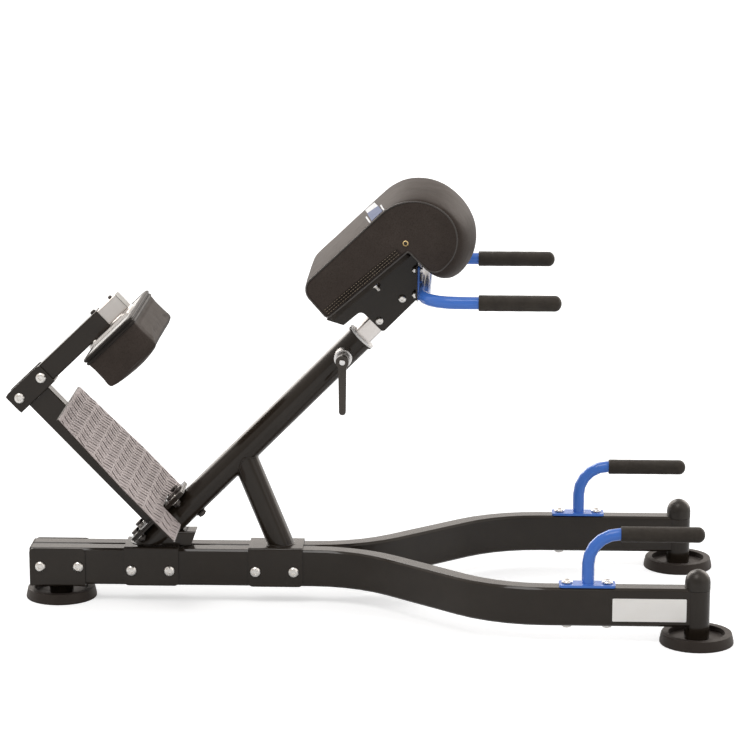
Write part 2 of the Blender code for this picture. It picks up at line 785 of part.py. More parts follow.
def build_feet(base):
    """Rubber feet and the domed caps on the front posts."""
    foot = turned([
        (0, FOOT_FLOOR), (FOOT_RECESS_R, FOOT_FLOOR), (FOOT_RECESS_R, FOOT_H),
        (FOOT_TOP_R, FOOT_H), (FOOT_R, FOOT_H * 0.25), (FOOT_R, 0), (0, 0),
    ], 36)
    skirt = POST_TOP + CLEAR
    shoulder = skirt + CAP_SKIRT
    inside = POST_R - POST_WALL - TUBE_GAP / 2
    dome = [(CAP_R * math.sin(math.radians(a)), shoulder + CAP_R * math.cos(math.radians(a)))
            for a in range(0, 91, 18)]
    cap = turned(dome + [(CAP_R, skirt), (inside, skirt), (inside, skirt - PLUG_DEPTH), (0, skirt - PLUG_DEPTH)])
    node("foot_rear", foot.copy(), "rubber", base, (REAR_FOOT_X, 0, 0))
    for label, side in (("right", -1), ("left", 1)):
        spot = (POST_X, side * RAIL_FRONT_Y, 0)
        node("foot_" + label, foot.copy(), "rubber", base, spot)
        node("post_cap_" + label, cap.copy(), "black_plastic", base, spot)


def base_bolts():
    return (BASE_PLATE_X + BASE_BOLT_INSET, BASE_PLATE_X + BASE_PLATE_L - BASE_BOLT_INSET)


def grip_mesh(length):
    """A sleeve along +X with a closed, domed end."""
    bore = HANDLE_R + CLEAR
    depth = length - GRIP_END
    round_end = [(GRIP_R * math.sin(math.radians(a)), length - GRIP_END + GRIP_END * math.cos(math.radians(a)))
                 for a in (0, 35, 62, 90)]
    lip = 0.0015
    sleeve = round_end + [(GRIP_R, lip), (GRIP_R - lip, 0), (bore, 0), (bore, depth - CLEAR), (0, depth - CLEAR)]
    mesh = turned(sleeve, 20)
    mesh.transform(HEAD_FRONT)
    return mesh


def build_base_handles(base):
    """Blue handles bolted on the rails near their front ends."""
    foot_z = RAIL_TOP + CLEAR
    top_z = foot_z + BASE_PLATE_T
    grip = grip_mesh(BASE_GRIP_L)
    end = BASE_GRIP_X + BASE_GRIP_L - GRIP_END - 3 * CLEAR
    path = arc_path([
        (BASE_HANDLE_X, 0, foot_z + BASE_PLATE_T / 2), (BASE_HANDLE_X, 0, BASE_HANDLE_Z),
        (end, 0, BASE_HANDLE_Z),
    ], BASE_HANDLE_BEND)
    pipe = swept(path, HANDLE_R, HANDLE_WALL)
    outline = rectangle(BASE_PLATE_X, BASE_PLATE_X + BASE_PLATE_L, -BASE_PLATE_W / 2, BASE_PLATE_W / 2, 0.005)
    holes = [circle(BOLT_R + HOLE_GAP, (x, 0), 12) for x in base_bolts()]
    handle = combined("UNION", prism("Z", [outline, *holes], foot_z, top_z), pipe)
    bolt = dome_bolt(top_z - RAIL_BOTTOM, head_r=0.009, head_h=0.006, nut_r=0.0085)
    for label, side in (("right", -1), ("left", 1)):
        y = side * RAIL_FRONT_Y
        node("base_handle_" + label, handle.copy(), "blue_coat", base, (0, y, 0))
        node("base_grip_" + label, grip.copy(), "grip_foam", base, (BASE_GRIP_X, y, BASE_HANDLE_Z))
        for end_label, x in zip(("back", "front"), base_bolts()):
            node("base_bolt_" + label + "_" + end_label, bolt.copy(), "zinc", base, (x, y, top_z))


def build_main_tube(base, tube):
    """The 45 degree tube with its flange, guide bushing and lock boss, and the wedge at its foot."""
    pipe = prism("X", [circle(TUBE_R), circle(TUBE_BORE_R)], -TUBE_LENGTH - 2 * TUBE_R, FLANGE_T * 0.8)
    ring = prism("X", [circle(FLANGE_R), circle(TUBE_R - TUBE_WALL / 2)], 0, FLANGE_T)
    main = node("main_tube", combined("UNION", pipe, ring), "black_coat", tube)
    slab = prism("Z", [rectangle(TUBE_FOOT_X - 0.15, TUBE_FOOT_X + 0.15, -0.1, 0.1)], 0, SADDLE_TOP + CLEAR)
    cut(main, cutter("tube_foot_cut", slab, base))
    cross = rod(CROSS_BOLT_AT - TUBE_LENGTH, 0, 0, HEAD_UP, BOLT_R + HOLE_GAP, TUBE_R * 4)
    screw_way = prism("Y", [circle(LOCK_SCREW_R + HOLE_GAP, (LOCK_AT, 0), 12)], -TUBE_R * 2, 0)
    cut(main, cutter("tube_holes", gathered([cross, screw_way]), tube))
    bore = square(SLIDER + 2 * BUSH_GAP, SLIDER_CORNER)
    lip = prism("X", [circle(FLANGE_R)], FLANGE_T + CLEAR, FLANGE_T + CLEAR + BUSH_LIP)
    sleeve = prism("X", [circle(TUBE_BORE_R - CLEAR)], -BUSH_SLEEVE, FLANGE_T + CLEAR + BUSH_LIP / 2)
    way = prism("X", [bore], -BUSH_SLEEVE * 2, BUSH_LIP * 3)
    bushing = combined("DIFFERENCE", combined("UNION", lip, sleeve), way)
    node("guide_bushing", bushing, "white_plastic", tube)
    hollow = [circle(BOSS_R, (LOCK_AT, 0)), circle(LOCK_SCREW_R + HOLE_GAP, (LOCK_AT, 0), 12)]
    boss = node("lock_boss", prism("Y", hollow, -BOSS_FACE, -TUBE_R / 2), "chrome", tube)
    around = prism("X", [circle(TUBE_R + CLEAR, sides=28)], -TUBE_LENGTH - 2 * TUBE_R, 2 * CLEAR)
    around_tube = cutter("main_tube_outside", around, tube)
    cut(boss, around_tube)
    build_strut(base, around_tube)
    build_wedge(base, around_tube)


def build_strut(base, around_tube):
    """Leaning tube under the main tube, welded to the saddle on the rails."""
    low = -2 * STRUT_R
    reach = STRUT_X - TUBE_FOOT_X
    rise = math.tan(TUBE_TILT)
    height = reach * rise / (1 + math.tan(STRUT_LEAN) * rise)
    length = height / math.cos(STRUT_LEAN)
    pipe = prism("Z", [circle(STRUT_R), circle(STRUT_R - STRUT_WALL)], low, length)
    pipe.transform(place(STRUT_X, 0, SADDLE_TOP) @ Matrix.Rotation(-STRUT_LEAN, 4, "Y"))
    room = [rectangle(STRUT_X - 4 * STRUT_R, STRUT_X + 4 * STRUT_R, -2 * STRUT_R, 2 * STRUT_R)]
    pipe = combined("DIFFERENCE", pipe, prism("Z", room, 0, SADDLE_TOP - SADDLE_TOP_T / 2))
    strut = node("strut", combined("UNION", saddle_mesh(STRUT_SADDLE_X), pipe), "black_coat", base)
    cut(strut, around_tube)


def build_wedge(base, around_tube):
    """Bent channel that fills the corner in front of the main tube's foot."""
    low = SADDLE_TOP + CLEAR
    top = low + WEDGE_H
    inner = WEDGE_HALF - GAUGE
    section = rounded([
        (WEDGE_HALF, low, 0), (WEDGE_HALF, top, GAUGE * 1.3), (-WEDGE_HALF, top, GAUGE * 1.3),
        (-WEDGE_HALF, low, 0), (-inner, low, 0), (-inner, top - GAUGE, 0),
        (inner, top - GAUGE, 0), (inner, low, 0),
    ])
    back = [TUBE_FOOT_X + (z - SADDLE_TOP) / math.tan(TUBE_TILT) for z in (low, top)]
    side_view = [(back[0], low), (WEDGE_FOOT_X, low), (WEDGE_TOP_X, top), (back[1], top)]
    mesh = channel(section, side_view, (TUBE_FOOT_X, WEDGE_TOP_X + GAUGE))
    piece = node("foot_wedge", mesh, "black_coat", base)
    cut(piece, around_tube)


def foot_outline(margin):
    """Foot plate: narrower at its top, its lower ends either side of the main tube."""
    top = FOOT_PLATE_LOW + FOOT_PLATE_L - margin
    low = FOOT_PLATE_LOW - FOOT_PLATE_DOWN + margin
    notch = FOOT_PLATE_LOW + margin
    inner = FOOT_NOTCH_HALF + margin
    wide = FOOT_PLATE_W / 2 - margin
    narrow = FOOT_PLATE_TOP_W / 2 - margin
    even = FOOT_PLATE_LOW + FOOT_PLATE_EVEN
    half = [(inner, notch, 0.003), (inner, low, 0.003), (wide, low, 0.005), (wide, even, 0.003),
            (narrow, top, 0.004)]
    return rounded(half + [(-y, z, radius) for y, z, radius in reversed(half)], 2)


def build_foot_post(base, tube, post):
    """Mating plates on the main tube, the foot post on them, the foot plate and its tread."""
    low = MATE_LOW - TUBE_LENGTH
    high = MATE_HIGH - TUBE_LENGTH
    cross_s = CROSS_BOLT_AT - TUBE_LENGTH
    outline = rectangle(low, high, -MATE_HALF, MATE_HALF, 0.006)
    holes = [circle(MATE_BOLT_R + HOLE_GAP, (at - TUBE_LENGTH, y), 12)
             for at in MATE_BOLT_AT for y in (-MATE_BOLT_Y, MATE_BOLT_Y)]
    holes.append(circle(BOLT_R + HOLE_GAP, (cross_s, 0), 12))
    lower = TUBE_R + CLEAR
    upper = lower + MATE_T + CLEAR
    node("tube_plate", prism("Z", [outline, *holes], lower, lower + MATE_T), "black_coat", tube)
    flange = prism("Z", [outline, *holes], upper, upper + MATE_T)
    node("post_cross_bolt", dome_bolt(FLANGE_TOP + TUBE_R), "zinc", tube, (cross_s, 0, FLANGE_TOP))
    half_u = FOOT_POST_U / 2
    half_y = FOOT_POST_Y / 2
    wall = FOOT_POST_WALL
    pipe = [
        rectangle(-half_u, half_u, -half_y, half_y, 0.003, 2),
        rectangle(wall - half_u, half_u - wall, wall - half_y, half_y - wall, 0.0015, 2),
    ]
    tube_place = Matrix.Translation(TUBE_TOP) @ Matrix.Rotation(-TUBE_TILT, 4, "Y")
    post_place = Matrix.Translation(POST_FOOT) @ Matrix.Rotation(-POST_TILT, 4, "Y")
    to_post = post_place.inverted() @ tube_place
    flange.transform(to_post)
    under = prism("Z", [rectangle(low, high, -MATE_HALF, MATE_HALF)], -TUBE_R, FLANGE_TOP - MATE_T / 2)
    under.transform(to_post)
    column = combined("DIFFERENCE", prism("Z", pipe, -2 * MATE_T, FOOT_POST_LENGTH), under)
    node("foot_post", combined("UNION", column, flange), "black_coat", post)
    plate_u = half_u + CLEAR
    plate = foot_outline(0)
    node("foot_plate", prism("X", [plate], plate_u, plate_u + FOOT_PLATE_T), "black_coat", post)
    tread_u = plate_u + FOOT_PLATE_T + CLEAR
    tread = foot_outline(TREAD_MARGIN)
    node("foot_tread", prism("X", [tread], tread_u, tread_u + TREAD_T), "tread", post)


def build_ankle_arm(post):
    """U bracket on the foot post, with the square arm bolted in it."""
    inner = ARM / 2 + CLEAR
    outer = inner + GAUGE
    top = BRACKET_BASE + BRACKET_SIDE
    section = rounded([
        (-outer, top, 0), (-outer, BRACKET_BASE, GAUGE * 1.3), (outer, BRACKET_BASE, GAUGE * 1.3),
        (outer, top, 0), (inner, top, 0), (inner, BRACKET_BASE + GAUGE, 0),
        (-inner, BRACKET_BASE + GAUGE, 0), (-inner, top, 0),
    ])
    side_view = rounded([
        (-BRACKET_HALF, BRACKET_BASE, 0), (BRACKET_HALF, BRACKET_BASE, 0),
        (BRACKET_HALF, top, BRACKET_CORNER), (-BRACKET_HALF, top, BRACKET_CORNER),
    ])
    holes = [circle(BOLT_R + HOLE_GAP, (u, ARM_AXIS), 12) for u in BRACKET_BOLTS]
    mesh = channel(section, side_view, (-BRACKET_HALF - GAUGE, BRACKET_HALF + GAUGE), holes)
    node("ankle_bracket", mesh, "black_coat", post)
    bolt = dome_bolt(2 * outer)
    for label, u in zip(("back", "front"), BRACKET_BOLTS):
        node("arm_bolt_" + label, moved(bolt, HEAD_NEAR), "zinc", post, (u, -outer, ARM_AXIS))
    pipe = [square(ARM, ARM_CORNER, ARM_AXIS), square(ARM - 2 * ARM_WALL, ARM_CORNER / 2, ARM_AXIS)]
    arm = node("ankle_arm", prism("X", pipe, ARM_BACK, ARM_FRONT), "black_coat", post)
    rods = [rod(u, 0, ARM_AXIS, HEAD_NEAR, BOLT_R + HOLE_GAP, ARM * 2) for u in BRACKET_BOLTS]
    rods.append(rod(SET_SCREW_U, 0, ARM_TOP, HEAD_UP, SET_SCREW_R + HOLE_GAP, ARM_WALL * 4))
    cut(arm, cutter("arm_holes", gathered(rods), post))
    reach = ARM_TOP - SLIDER_TOP - CLEAR
    screw = pan_screw(reach, SET_SCREW_R, SET_HEAD_R, SET_HEAD_H)
    node("arm_set_screw", screw, "black_plastic", post, (SET_SCREW_U, 0, ARM_TOP))


def rounded_ring(half_u, half_y, corner, height, crown=0.0):
    """One ring of the ankle pad, its height dropping towards the middle of the crown."""
    ring = []
    for u, y in rectangle(-half_u, half_u, -half_y, half_y, corner, 4):
        rise = 1 - ANKLE_END_DROP * (2 * u / ANKLE_PAD_L) ** 2
        rise *= 1 - ANKLE_SIDE_DROP * (2 * y / ANKLE_PAD_W) ** 2
        ring.append((u, y, height - crown * rise))
    return ring


def build_ankle_slider(slide):
    """The square tube that slides in the arm, with its plate, board and pad."""
    pipe = [square(SLIDER, SLIDER_CORNER, ARM_AXIS),
            square(SLIDER - 2 * SLIDER_WALL, SLIDER_CORNER / 2, ARM_AXIS)]
    tube = node("ankle_tube", prism("X", pipe, ANKLE_TUBE_BACK, ANKLE_TUBE_FRONT), "bright_tube", slide)
    way = rod(STOP_SCREW_U, 0, SLIDER_TOP, HEAD_UP, STOP_R + HOLE_GAP, SLIDER_WALL * 4, 12)
    cut(tube, cutter("stop_screw_hole", way, slide))
    end = plug(SLIDER, SLIDER, SLIDER_WALL, ANKLE_CAP_T, SHORT_PLUG_DEPTH, SLIDER_CORNER)
    end.transform(Matrix.Rotation(math.pi, 4, "Z"))
    node("ankle_tube_cap", end, "black_plastic", slide, (ANKLE_TUBE_FRONT + CLEAR, 0, ARM_AXIS))
    stop = pan_screw(SLIDER_WALL * 2, STOP_R, STOP_HEAD_R, STOP_HEAD_H)
    node("ankle_stop_screw", stop, "zinc", slide, (STOP_SCREW_U, 0, SLIDER_TOP))
    build_ankle_pad(slide)


def build_ankle_pad(slide):
    """Mounting plate under the arm, the board on it and the padded block."""
    low = ANKLE_PLATE_TOP - ANKLE_PLATE_T
    end = ANKLE_PLATE_U + ANKLE_PLATE_L
    screw_u = (ANKLE_PLATE_U + ANKLE_PLATE_SCREW_INSET, end - ANKLE_PLATE_SCREW_INSET)
    spots = [(u, y) for u in screw_u for y in (-ANKLE_PLATE_SCREW_Y, ANKLE_PLATE_SCREW_Y)]
    outline = rectangle(ANKLE_PLATE_U, end, -ANKLE_PLATE_HALF, ANKLE_PLATE_HALF, 0.005)
    holes = [circle(SMALL_SCREW_R + HOLE_GAP, spot, 12) for spot in spots]
    plate = prism("Z", [outline, *holes], low, ANKLE_PLATE_TOP)
    seat = rectangle(ANKLE_WELD_U, end, -SLIDER / 3, SLIDER / 3)
    raised = prism("Z", [seat], ANKLE_PLATE_TOP - ANKLE_PLATE_T / 2, ARM_AXIS - SLIDER / 2 - CLEAR)
    node("ankle_plate", combined("UNION", plate, raised), "black_coat", slide)
    middle = ANKLE_PAD_U + ANKLE_PAD_L / 2
    half_u = ANKLE_PAD_L / 2
    half_y = ANKLE_PAD_W / 2
    inset = ANKLE_BOARD_INSET
    reach = half_u - inset
    board = [rectangle(middle - reach, middle + reach, inset - half_y, half_y - inset, 0.006)]
    board += [circle(SMALL_SCREW_R + HOLE_GAP, spot, 12) for spot in spots]
    board = prism("Z", board, ANKLE_BOARD_TOP - ANKLE_BOARD_T, ANKLE_BOARD_TOP)
    node("ankle_board", board, "white_plastic", slide)
    corner = ANKLE_PAD_CORNER
    edge = ANKLE_PAD_TOP - ANKLE_PAD_T
    rings = [rounded_ring(half_u, half_y, corner, ANKLE_PAD_TOP)]
    rings.append(rounded_ring(half_u - 0.0015, half_y - 0.0015, corner, ANKLE_PAD_TOP - 0.35 * ANKLE_PAD_T))
    rings.append(rounded_ring(half_u - 0.0010, half_y - 0.0010, corner, edge + 0.006))
    for share, drop in ((0.004, 0.18), (0.011, 0.45), (0.024, 0.76), (0.042, 0.95)):
        inner = min(corner, half_u - share)
        rings.append(rounded_ring(half_u - share, half_y - share, inner, edge, drop * ANKLE_PAD_CROWN))
    node("ankle_pad", lofted(rings), "vinyl", slide, (middle, 0, 0))


def pad_line(s):
    """Height of the hip pad's underside above the slide axis."""
    return PAD_LOW[1] - math.tan(PAD_TILT) * (s - PAD_LOW[0])


def hip_outline(swell):
    """Side view of the hip pad, with its top and its roll pushed out by the swell."""
    roll = ROLL_CROWN * swell
    top = PAD_LOW[1] + PAD_THICK + TOP_CROWN * swell
    front = PAD_FRONT + roll
    low = ROLL_BOTTOM - ROLL_LOW_CROWN * swell
    return rounded([
        (PAD_LOW[0], PAD_LOW[1], 0.003),
        (PAD_NOTCH, pad_line(PAD_NOTCH), 0.003),
        (PAD_NOTCH, low, ROLL_BACK_R + roll * ROLL_BACK_SHARE),
        (front, low, ROLL_FRONT_R + roll),
        (front, top - PAD_TOP_DROP, ROLL_TOP_R + roll * ROLL_TOP_SHARE),
        (PAD_LOW[0] + PAD_LEAN, top, PAD_TAIL_R),
    ], 5)


def build_hip_pad(carriage):
    """The padded slab with its thick front roll, crowned between two flat side panels."""
    shares = (1, 0.97, 0.88, 0.72, 0.5, 0.25)
    stations = [-q for q in shares] + [0] + [q for q in reversed(shares)]
    rings = []
    for q in stations:
        swell = (1 - q * q) ** 0.6
        y = q * PAD_WIDTH / 2
        rings.append([(s, y, n) for s, n in hip_outline(swell)])
    node("hip_pad", lofted(rings), "vinyl", carriage)


def side_plate(side, lean):
    """One side plate of the carriage, with the flange under the board and the flange for the handle."""
    top = pad_line(0) - (BOARD_T + 2 * CLEAR) / math.cos(PAD_TILT)
    fall = math.tan(PAD_TILT)
    tail = (SIDE_TAIL, top - fall * SIDE_TAIL, 0.002)
    outline = rounded([
        (SIDE_BACK, SIDE_LOW, 0.006), (SIDE_FRONT_LOW, SIDE_LOW, 0.003),
        (SIDE_FRONT, SIDE_FRONT - FRONT_EDGE, 0.003), (SIDE_FRONT, top - fall * SIDE_FRONT, 0),
        tail, (0, SIDE_TAIL_LOW, 0.004), (SIDE_BACK, SIDE_STEP, 0.010),
    ])
    holes = [circle(SIDE_BOLT_R + HOLE_GAP, (s, 0), 12) for s in SIDE_BOLTS]
    low, high = sorted((side * SIDE_INNER, side * SIDE_OUTER))
    web = prism("Y", [outline, *holes], low, high)
    low, high = sorted((side * (SIDE_INNER + SIDE_T / 2), side * SIDE_FLANGE_OUT))
    shelf = [rectangle(SIDE_FLANGE_LOW, SIDE_FLANGE_HIGH, low, high, 0.002)]
    shelf.append(circle(STUD_R + HOLE_GAP, (STUD_AT, side * STUD_Y), 16))
    shelf = prism("Z", shelf, -SIDE_FLANGE_T, 0)
    shelf.transform(lean @ Matrix.Translation((-PAD_LOW[0], 0, -BOARD_T - 2 * CLEAR)))
    return combined("UNION", web, shelf, handle_flange(side))


def handle_flange(side):
    """The upright flange bent outwards from a side plate's front edge."""
    low, high = sorted((side * (SIDE_INNER + SIDE_T / 2), side * HANDLE_PLATE_HALF))
    z_low = HANDLE_PLATE_LOW - TUBE_TOP.z
    z_high = HANDLE_PLATE_TOP - TUBE_TOP.z
    outline = [rectangle(low, high, z_low, z_high, 0.001)]
    outline += [circle(HANDLE_BOLT_R + HOLE_GAP, (side * HANDLE_BOLT_Y, z - TUBE_TOP.z), 12)
                for z in handle_bolt_heights()]
    back = FRONT_X - TUBE_TOP.x
    upright = prism("X", outline, back - SIDE_FLANGE_T, back)
    upright.transform(Matrix.Rotation(TUBE_TILT, 4, "Y"))
    return upright


def handle_bolt_heights():
    return (HANDLE_PLATE_LOW + HANDLE_BOLT_INSET, HANDLE_PLATE_TOP - HANDLE_BOLT_INSET)


def build_hip_frame(carriage, world_carriage):
    """The carriage's tube, side plates and board, and the plate for the handle."""
    pipe = [square(SLIDER, SLIDER_CORNER), square(SLIDER - 2 * SLIDER_WALL, SLIDER_CORNER / 2)]
    tube = node("hip_tube", prism("X", pipe, HIP_TUBE_LOW, HIP_TUBE_TOP), "bright_tube", carriage)
    rods = [rod(s, 0, 0, HEAD_NEAR, SIDE_BOLT_R + HOLE_GAP, SLIDER * 2) for s in SIDE_BOLTS]
    cut(tube, cutter("hip_tube_holes", gathered(rods), carriage))
    body = prism("X", [circle(TUBE_BORE_R - CLEAR)], -HIP_GUIDE_L, 0)
    spigot = prism("X", [square(SLIDER - 2 * SLIDER_WALL - TUBE_GAP, 0.001)], -0.001, HIP_GUIDE_SPIGOT)
    guide = combined("UNION", body, spigot)
    node("hip_tube_guide", guide, "white_plastic", carriage, (HIP_TUBE_LOW - CLEAR, 0, 0))
    lean = Matrix.Translation((PAD_LOW[0], 0, PAD_LOW[1])) @ Matrix.Rotation(PAD_TILT, 4, "Y")
    node("hip_gusset_right", side_plate(-1, lean), "black_coat", carriage)
    node("hip_gusset_left", side_plate(1, lean), "black_coat", carriage)
    bolt = dome_bolt(2 * SIDE_OUTER, SIDE_BOLT_R, SIDE_HEAD_R, SIDE_HEAD_H, 0.0075, 0.006)
    for label, s in zip(("back", "front"), SIDE_BOLTS):
        node("gusset_bolt_" + label, moved(bolt, HEAD_NEAR), "zinc", carriage, (s, -SIDE_OUTER, 0))
    board = [rectangle(BOARD_INSET, BOARD_INSET + BOARD_L, -BOARD_HALF, BOARD_HALF, 0.006)]
    spots = [(STUD_AT - PAD_LOW[0], side * STUD_Y) for side in (-1, 1)]
    board += [circle(STUD_R + HOLE_GAP, spot, 12) for spot in spots]
    board = prism("Z", board, -BOARD_T - CLEAR, -CLEAR)
    board.transform(lean)
    node("hip_board", board, "plywood", carriage)
    build_hip_handle(world_carriage)


def build_hip_handle(upright):
    """The upright plate in front of the side plates and the bent handle bar welded to it."""
    near = FRONT_X + CLEAR
    outline = [rectangle(-HANDLE_PLATE_HALF, HANDLE_PLATE_HALF, HANDLE_PLATE_LOW, HANDLE_PLATE_TOP, 0.004)]
    spots = [(side * HANDLE_BOLT_Y, z) for side in (-1, 1) for z in handle_bolt_heights()]
    outline += [circle(HANDLE_BOLT_R + HOLE_GAP, spot, 12) for spot in spots]
    face = near + HANDLE_PLATE_T
    plate = prism("X", outline, near, face)
    bar_x = face + HANDLE_R - HANDLE_WELD
    end = HIP_GRIP_X + HIP_GRIP_L - GRIP_END - 3 * CLEAR
    path = arc_path([
        (end, -HIP_HANDLE_Y, HIP_HANDLE_Z), (bar_x, -HIP_HANDLE_Y, HIP_HANDLE_Z),
        (bar_x, HIP_HANDLE_Y, HIP_HANDLE_Z), (end, HIP_HANDLE_Y, HIP_HANDLE_Z),
    ], HIP_HANDLE_BEND)
    bar = swept(path, HANDLE_R, HANDLE_WALL)
    node("hip_handle", combined("UNION", plate, bar), "blue_coat", upright)
    grip = grip_mesh(HIP_GRIP_L)
    for label, side in (("right", -1), ("left", 1)):
        spot = (HIP_GRIP_X, side * HIP_HANDLE_Y, HIP_HANDLE_Z)
        node("hip_grip_" + label, grip.copy(), "grip_foam", upright, spot)


def build_lock(lock, lever):
    """Clamping screw along -Y with its tip at the sliding tube, and the lever on its outer end."""
    collar = BOSS_FACE + LOCK_OUT
    hub = collar + LOCK_COLLAR_T + CLEAR
    hub_end = hub + LEVER_HUB_T
    stem = turned([
        (0, hub_end + CLEAR + LOCK_HEAD_T), (LOCK_HEAD_R * 0.8, hub_end + CLEAR + LOCK_HEAD_T),
        (LOCK_HEAD_R, hub_end + CLEAR + LOCK_HEAD_T * 0.6), (LOCK_HEAD_R, hub_end + CLEAR),
        (LOCK_SCREW_R - 0.001, hub_end + CLEAR), (LOCK_SCREW_R - 0.001, collar + LOCK_COLLAR_T),
        (LOCK_COLLAR_R, collar + LOCK_COLLAR_T), (LOCK_COLLAR_R, collar),
        (LOCK_SCREW_R, collar), (LOCK_SCREW_R, LOCK_TIP), (0, LOCK_TIP),
    ], 20)
    stem.transform(HEAD_NEAR)
    node("lock_screw", stem, "chrome", lock)
    ring = prism("Y", [circle(LEVER_HUB_R, sides=28)], -hub_end, -hub)
    blade = rounded([
        (-LEVER_ROOT_W / 2, 0, 0), (-LEVER_TIP_W / 2, -LEVER_LENGTH, LEVER_TIP_W * 0.48),
        (LEVER_TIP_W / 2, -LEVER_LENGTH, LEVER_TIP_W * 0.48), (LEVER_ROOT_W / 2, 0, 0),
    ])
    arm = prism("Y", [blade], -hub_end + 0.004, -hub_end + 0.004 + LEVER_T)
    way = prism("Y", [circle(LOCK_SCREW_R - 0.001 + CLEAR, sides=20)], -hub_end * 2, 0)
    handle = combined("DIFFERENCE", combined("UNION", ring, arm), way)
    node("lock_lever", handle, "black_plastic", lever)


def build():
    base = frame("bench_base", (-MIDDLE_X, 0, 0), 0)
    tube = frame("main_tube_frame", TUBE_TOP, TUBE_TILT, base)
    post = frame("foot_post_frame", POST_FOOT, POST_TILT, base)
    carriage = frame("hip_carriage", TUBE_TOP, TUBE_TILT, base)
    upright = frame("hip_carriage_upright", (0, 0, 0), 0, base)
    slide = frame("ankle_slide", POST_FOOT, POST_TILT, base)
    spot = TUBE_TOP + LOCK_AT * ALONG
    lock = frame("lock_axis", spot, 0, base)
    build_rails(base)
    build_end_plugs(base, post)
    build_rear_bracket(base)
    build_saddle(base)
    build_feet(base)
    build_base_handles(base)
    build_main_tube(base, tube)
    build_foot_post(base, tube, post)
    build_ankle_arm(post)
    build_ankle_slider(slide)
    build_hip_frame(carriage, upright)
    build_hip_pad(carriage)
    build_lock(lock, lock)
    bpy.context.view_layer.update()


build()
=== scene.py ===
"""Hyperextension bench: the look of every piece, its pads, small fasteners, light and camera.

Sizes are in metres, in the shared frame; its X = 0 is MIDDLE_X in the CAD's source. Two slanted frames
carry most of what is added: the hip carriage's (s along the main tube from its top, n square to it) and
the foot post's (u along the ankle arm, t along the post).
"""

import itertools
import json
import math

import bmesh
import bpy
from mathutils import Matrix, Vector, noise
from mathutils.bvhtree import BVHTree

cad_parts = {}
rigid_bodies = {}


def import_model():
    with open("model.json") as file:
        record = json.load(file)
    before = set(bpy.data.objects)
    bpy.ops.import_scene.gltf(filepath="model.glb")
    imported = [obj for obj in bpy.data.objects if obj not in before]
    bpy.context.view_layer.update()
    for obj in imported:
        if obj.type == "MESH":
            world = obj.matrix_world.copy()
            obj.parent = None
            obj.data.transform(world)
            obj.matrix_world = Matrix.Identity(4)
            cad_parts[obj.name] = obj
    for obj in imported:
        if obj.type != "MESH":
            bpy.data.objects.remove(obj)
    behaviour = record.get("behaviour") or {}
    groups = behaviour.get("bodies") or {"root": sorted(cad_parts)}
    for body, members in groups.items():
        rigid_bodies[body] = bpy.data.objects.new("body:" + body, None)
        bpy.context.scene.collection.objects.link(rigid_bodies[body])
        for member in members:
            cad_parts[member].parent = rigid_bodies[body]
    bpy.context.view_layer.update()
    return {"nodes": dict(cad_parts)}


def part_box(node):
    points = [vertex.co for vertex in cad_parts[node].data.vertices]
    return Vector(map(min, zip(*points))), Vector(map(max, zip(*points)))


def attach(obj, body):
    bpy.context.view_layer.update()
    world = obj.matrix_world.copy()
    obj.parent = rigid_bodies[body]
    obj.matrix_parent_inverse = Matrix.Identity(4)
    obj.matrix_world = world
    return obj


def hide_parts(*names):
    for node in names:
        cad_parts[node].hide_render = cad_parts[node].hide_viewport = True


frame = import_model()

# Places and sizes repeated from the CAD
MIDDLE_X = 0.6231362
CLEAR = 0.0003
RAIL_TOP = 0.102
RAIL_FRONT_Y = 0.2425
RAIL_SIDE_Y = 0.2600
SADDLE_TOP = 0.106
TUBE_R = 0.025
TUBE_TILT = math.radians(45)
TUBE_LENGTH = 0.551
TUBE_FOOT = Vector((0.2227 - MIDDLE_X, 0, SADDLE_TOP))
STRUT_R = 0.024
STRUT_X = 0.4654 - MIDDLE_X
STRUT_LEAN = math.radians(22)
BASE_PLATE_T = 0.0045
BASE_HANDLE_X = 1.0263 - MIDDLE_X
HANDLE_R = 0.011
GRIP_R = 0.0140
POST_AT = 0.048
POST_TILT = math.radians(43.6)
FLANGE_TOP = 0.0336
MATE_BOLT_AT = (0.003, 0.096)
MATE_BOLT_Y = 0.030
CROSS_BOLT_AT = 0.108
ANKLE_PLATE_TOP = 0.3090
ANKLE_BOARD_TOP = 0.3037
ANKLE_SCREWS_U = (0.152, 0.222)
ANKLE_SCREW_Y = 0.030
ANKLE_PAD_TOP = 0.2954
ANKLE_PAD_U = 0.137
ANKLE_PAD_L = 0.1165
ANKLE_PAD_W = 0.269
ANKLE_PAD_T = 0.0615
ANKLE_PAD_CROWN = 0.011
ANKLE_END_DROP = 0.50
ANKLE_SIDE_DROP = 0.30
FRONT_EDGE = 0.1505
SIDE_FLANGE_T = 0.003
SIDE_FLANGE_UNDER = 0.0156
HANDLE_PLATE_T = 0.004
HANDLE_BOLTS_Z = (0.5835, 0.6285)
HANDLE_BOLT_Y = 0.032
STUD_AT = 0.098
STUD_Y = 0.040
PAD_LOW = (0.0054, 0.0817)
PAD_TILT = math.radians(4.5)
PAD_WIDTH = 0.280
PAD_THICK = 0.0745
PAD_LEAN = 0.0046
PAD_TAIL_R = 0.025
PAD_FRONT = 0.2930
PAD_NOTCH = 0.1935
PAD_TOP_DROP = 0.009
TOP_CROWN = 0.0015
ROLL_BOTTOM = -0.0020
ROLL_TOP_R = 0.085
ROLL_FRONT_R = 0.066
ROLL_BACK_R = 0.022
ROLL_CROWN = 0.019
ROLL_LOW_CROWN = 0.038


def leaning(place, tilt):
    """Frame with X leaning up by the tilt, Y across, and Z square to both."""
    return Matrix.Translation(place) @ Matrix.Rotation(-tilt, 4, "Y")


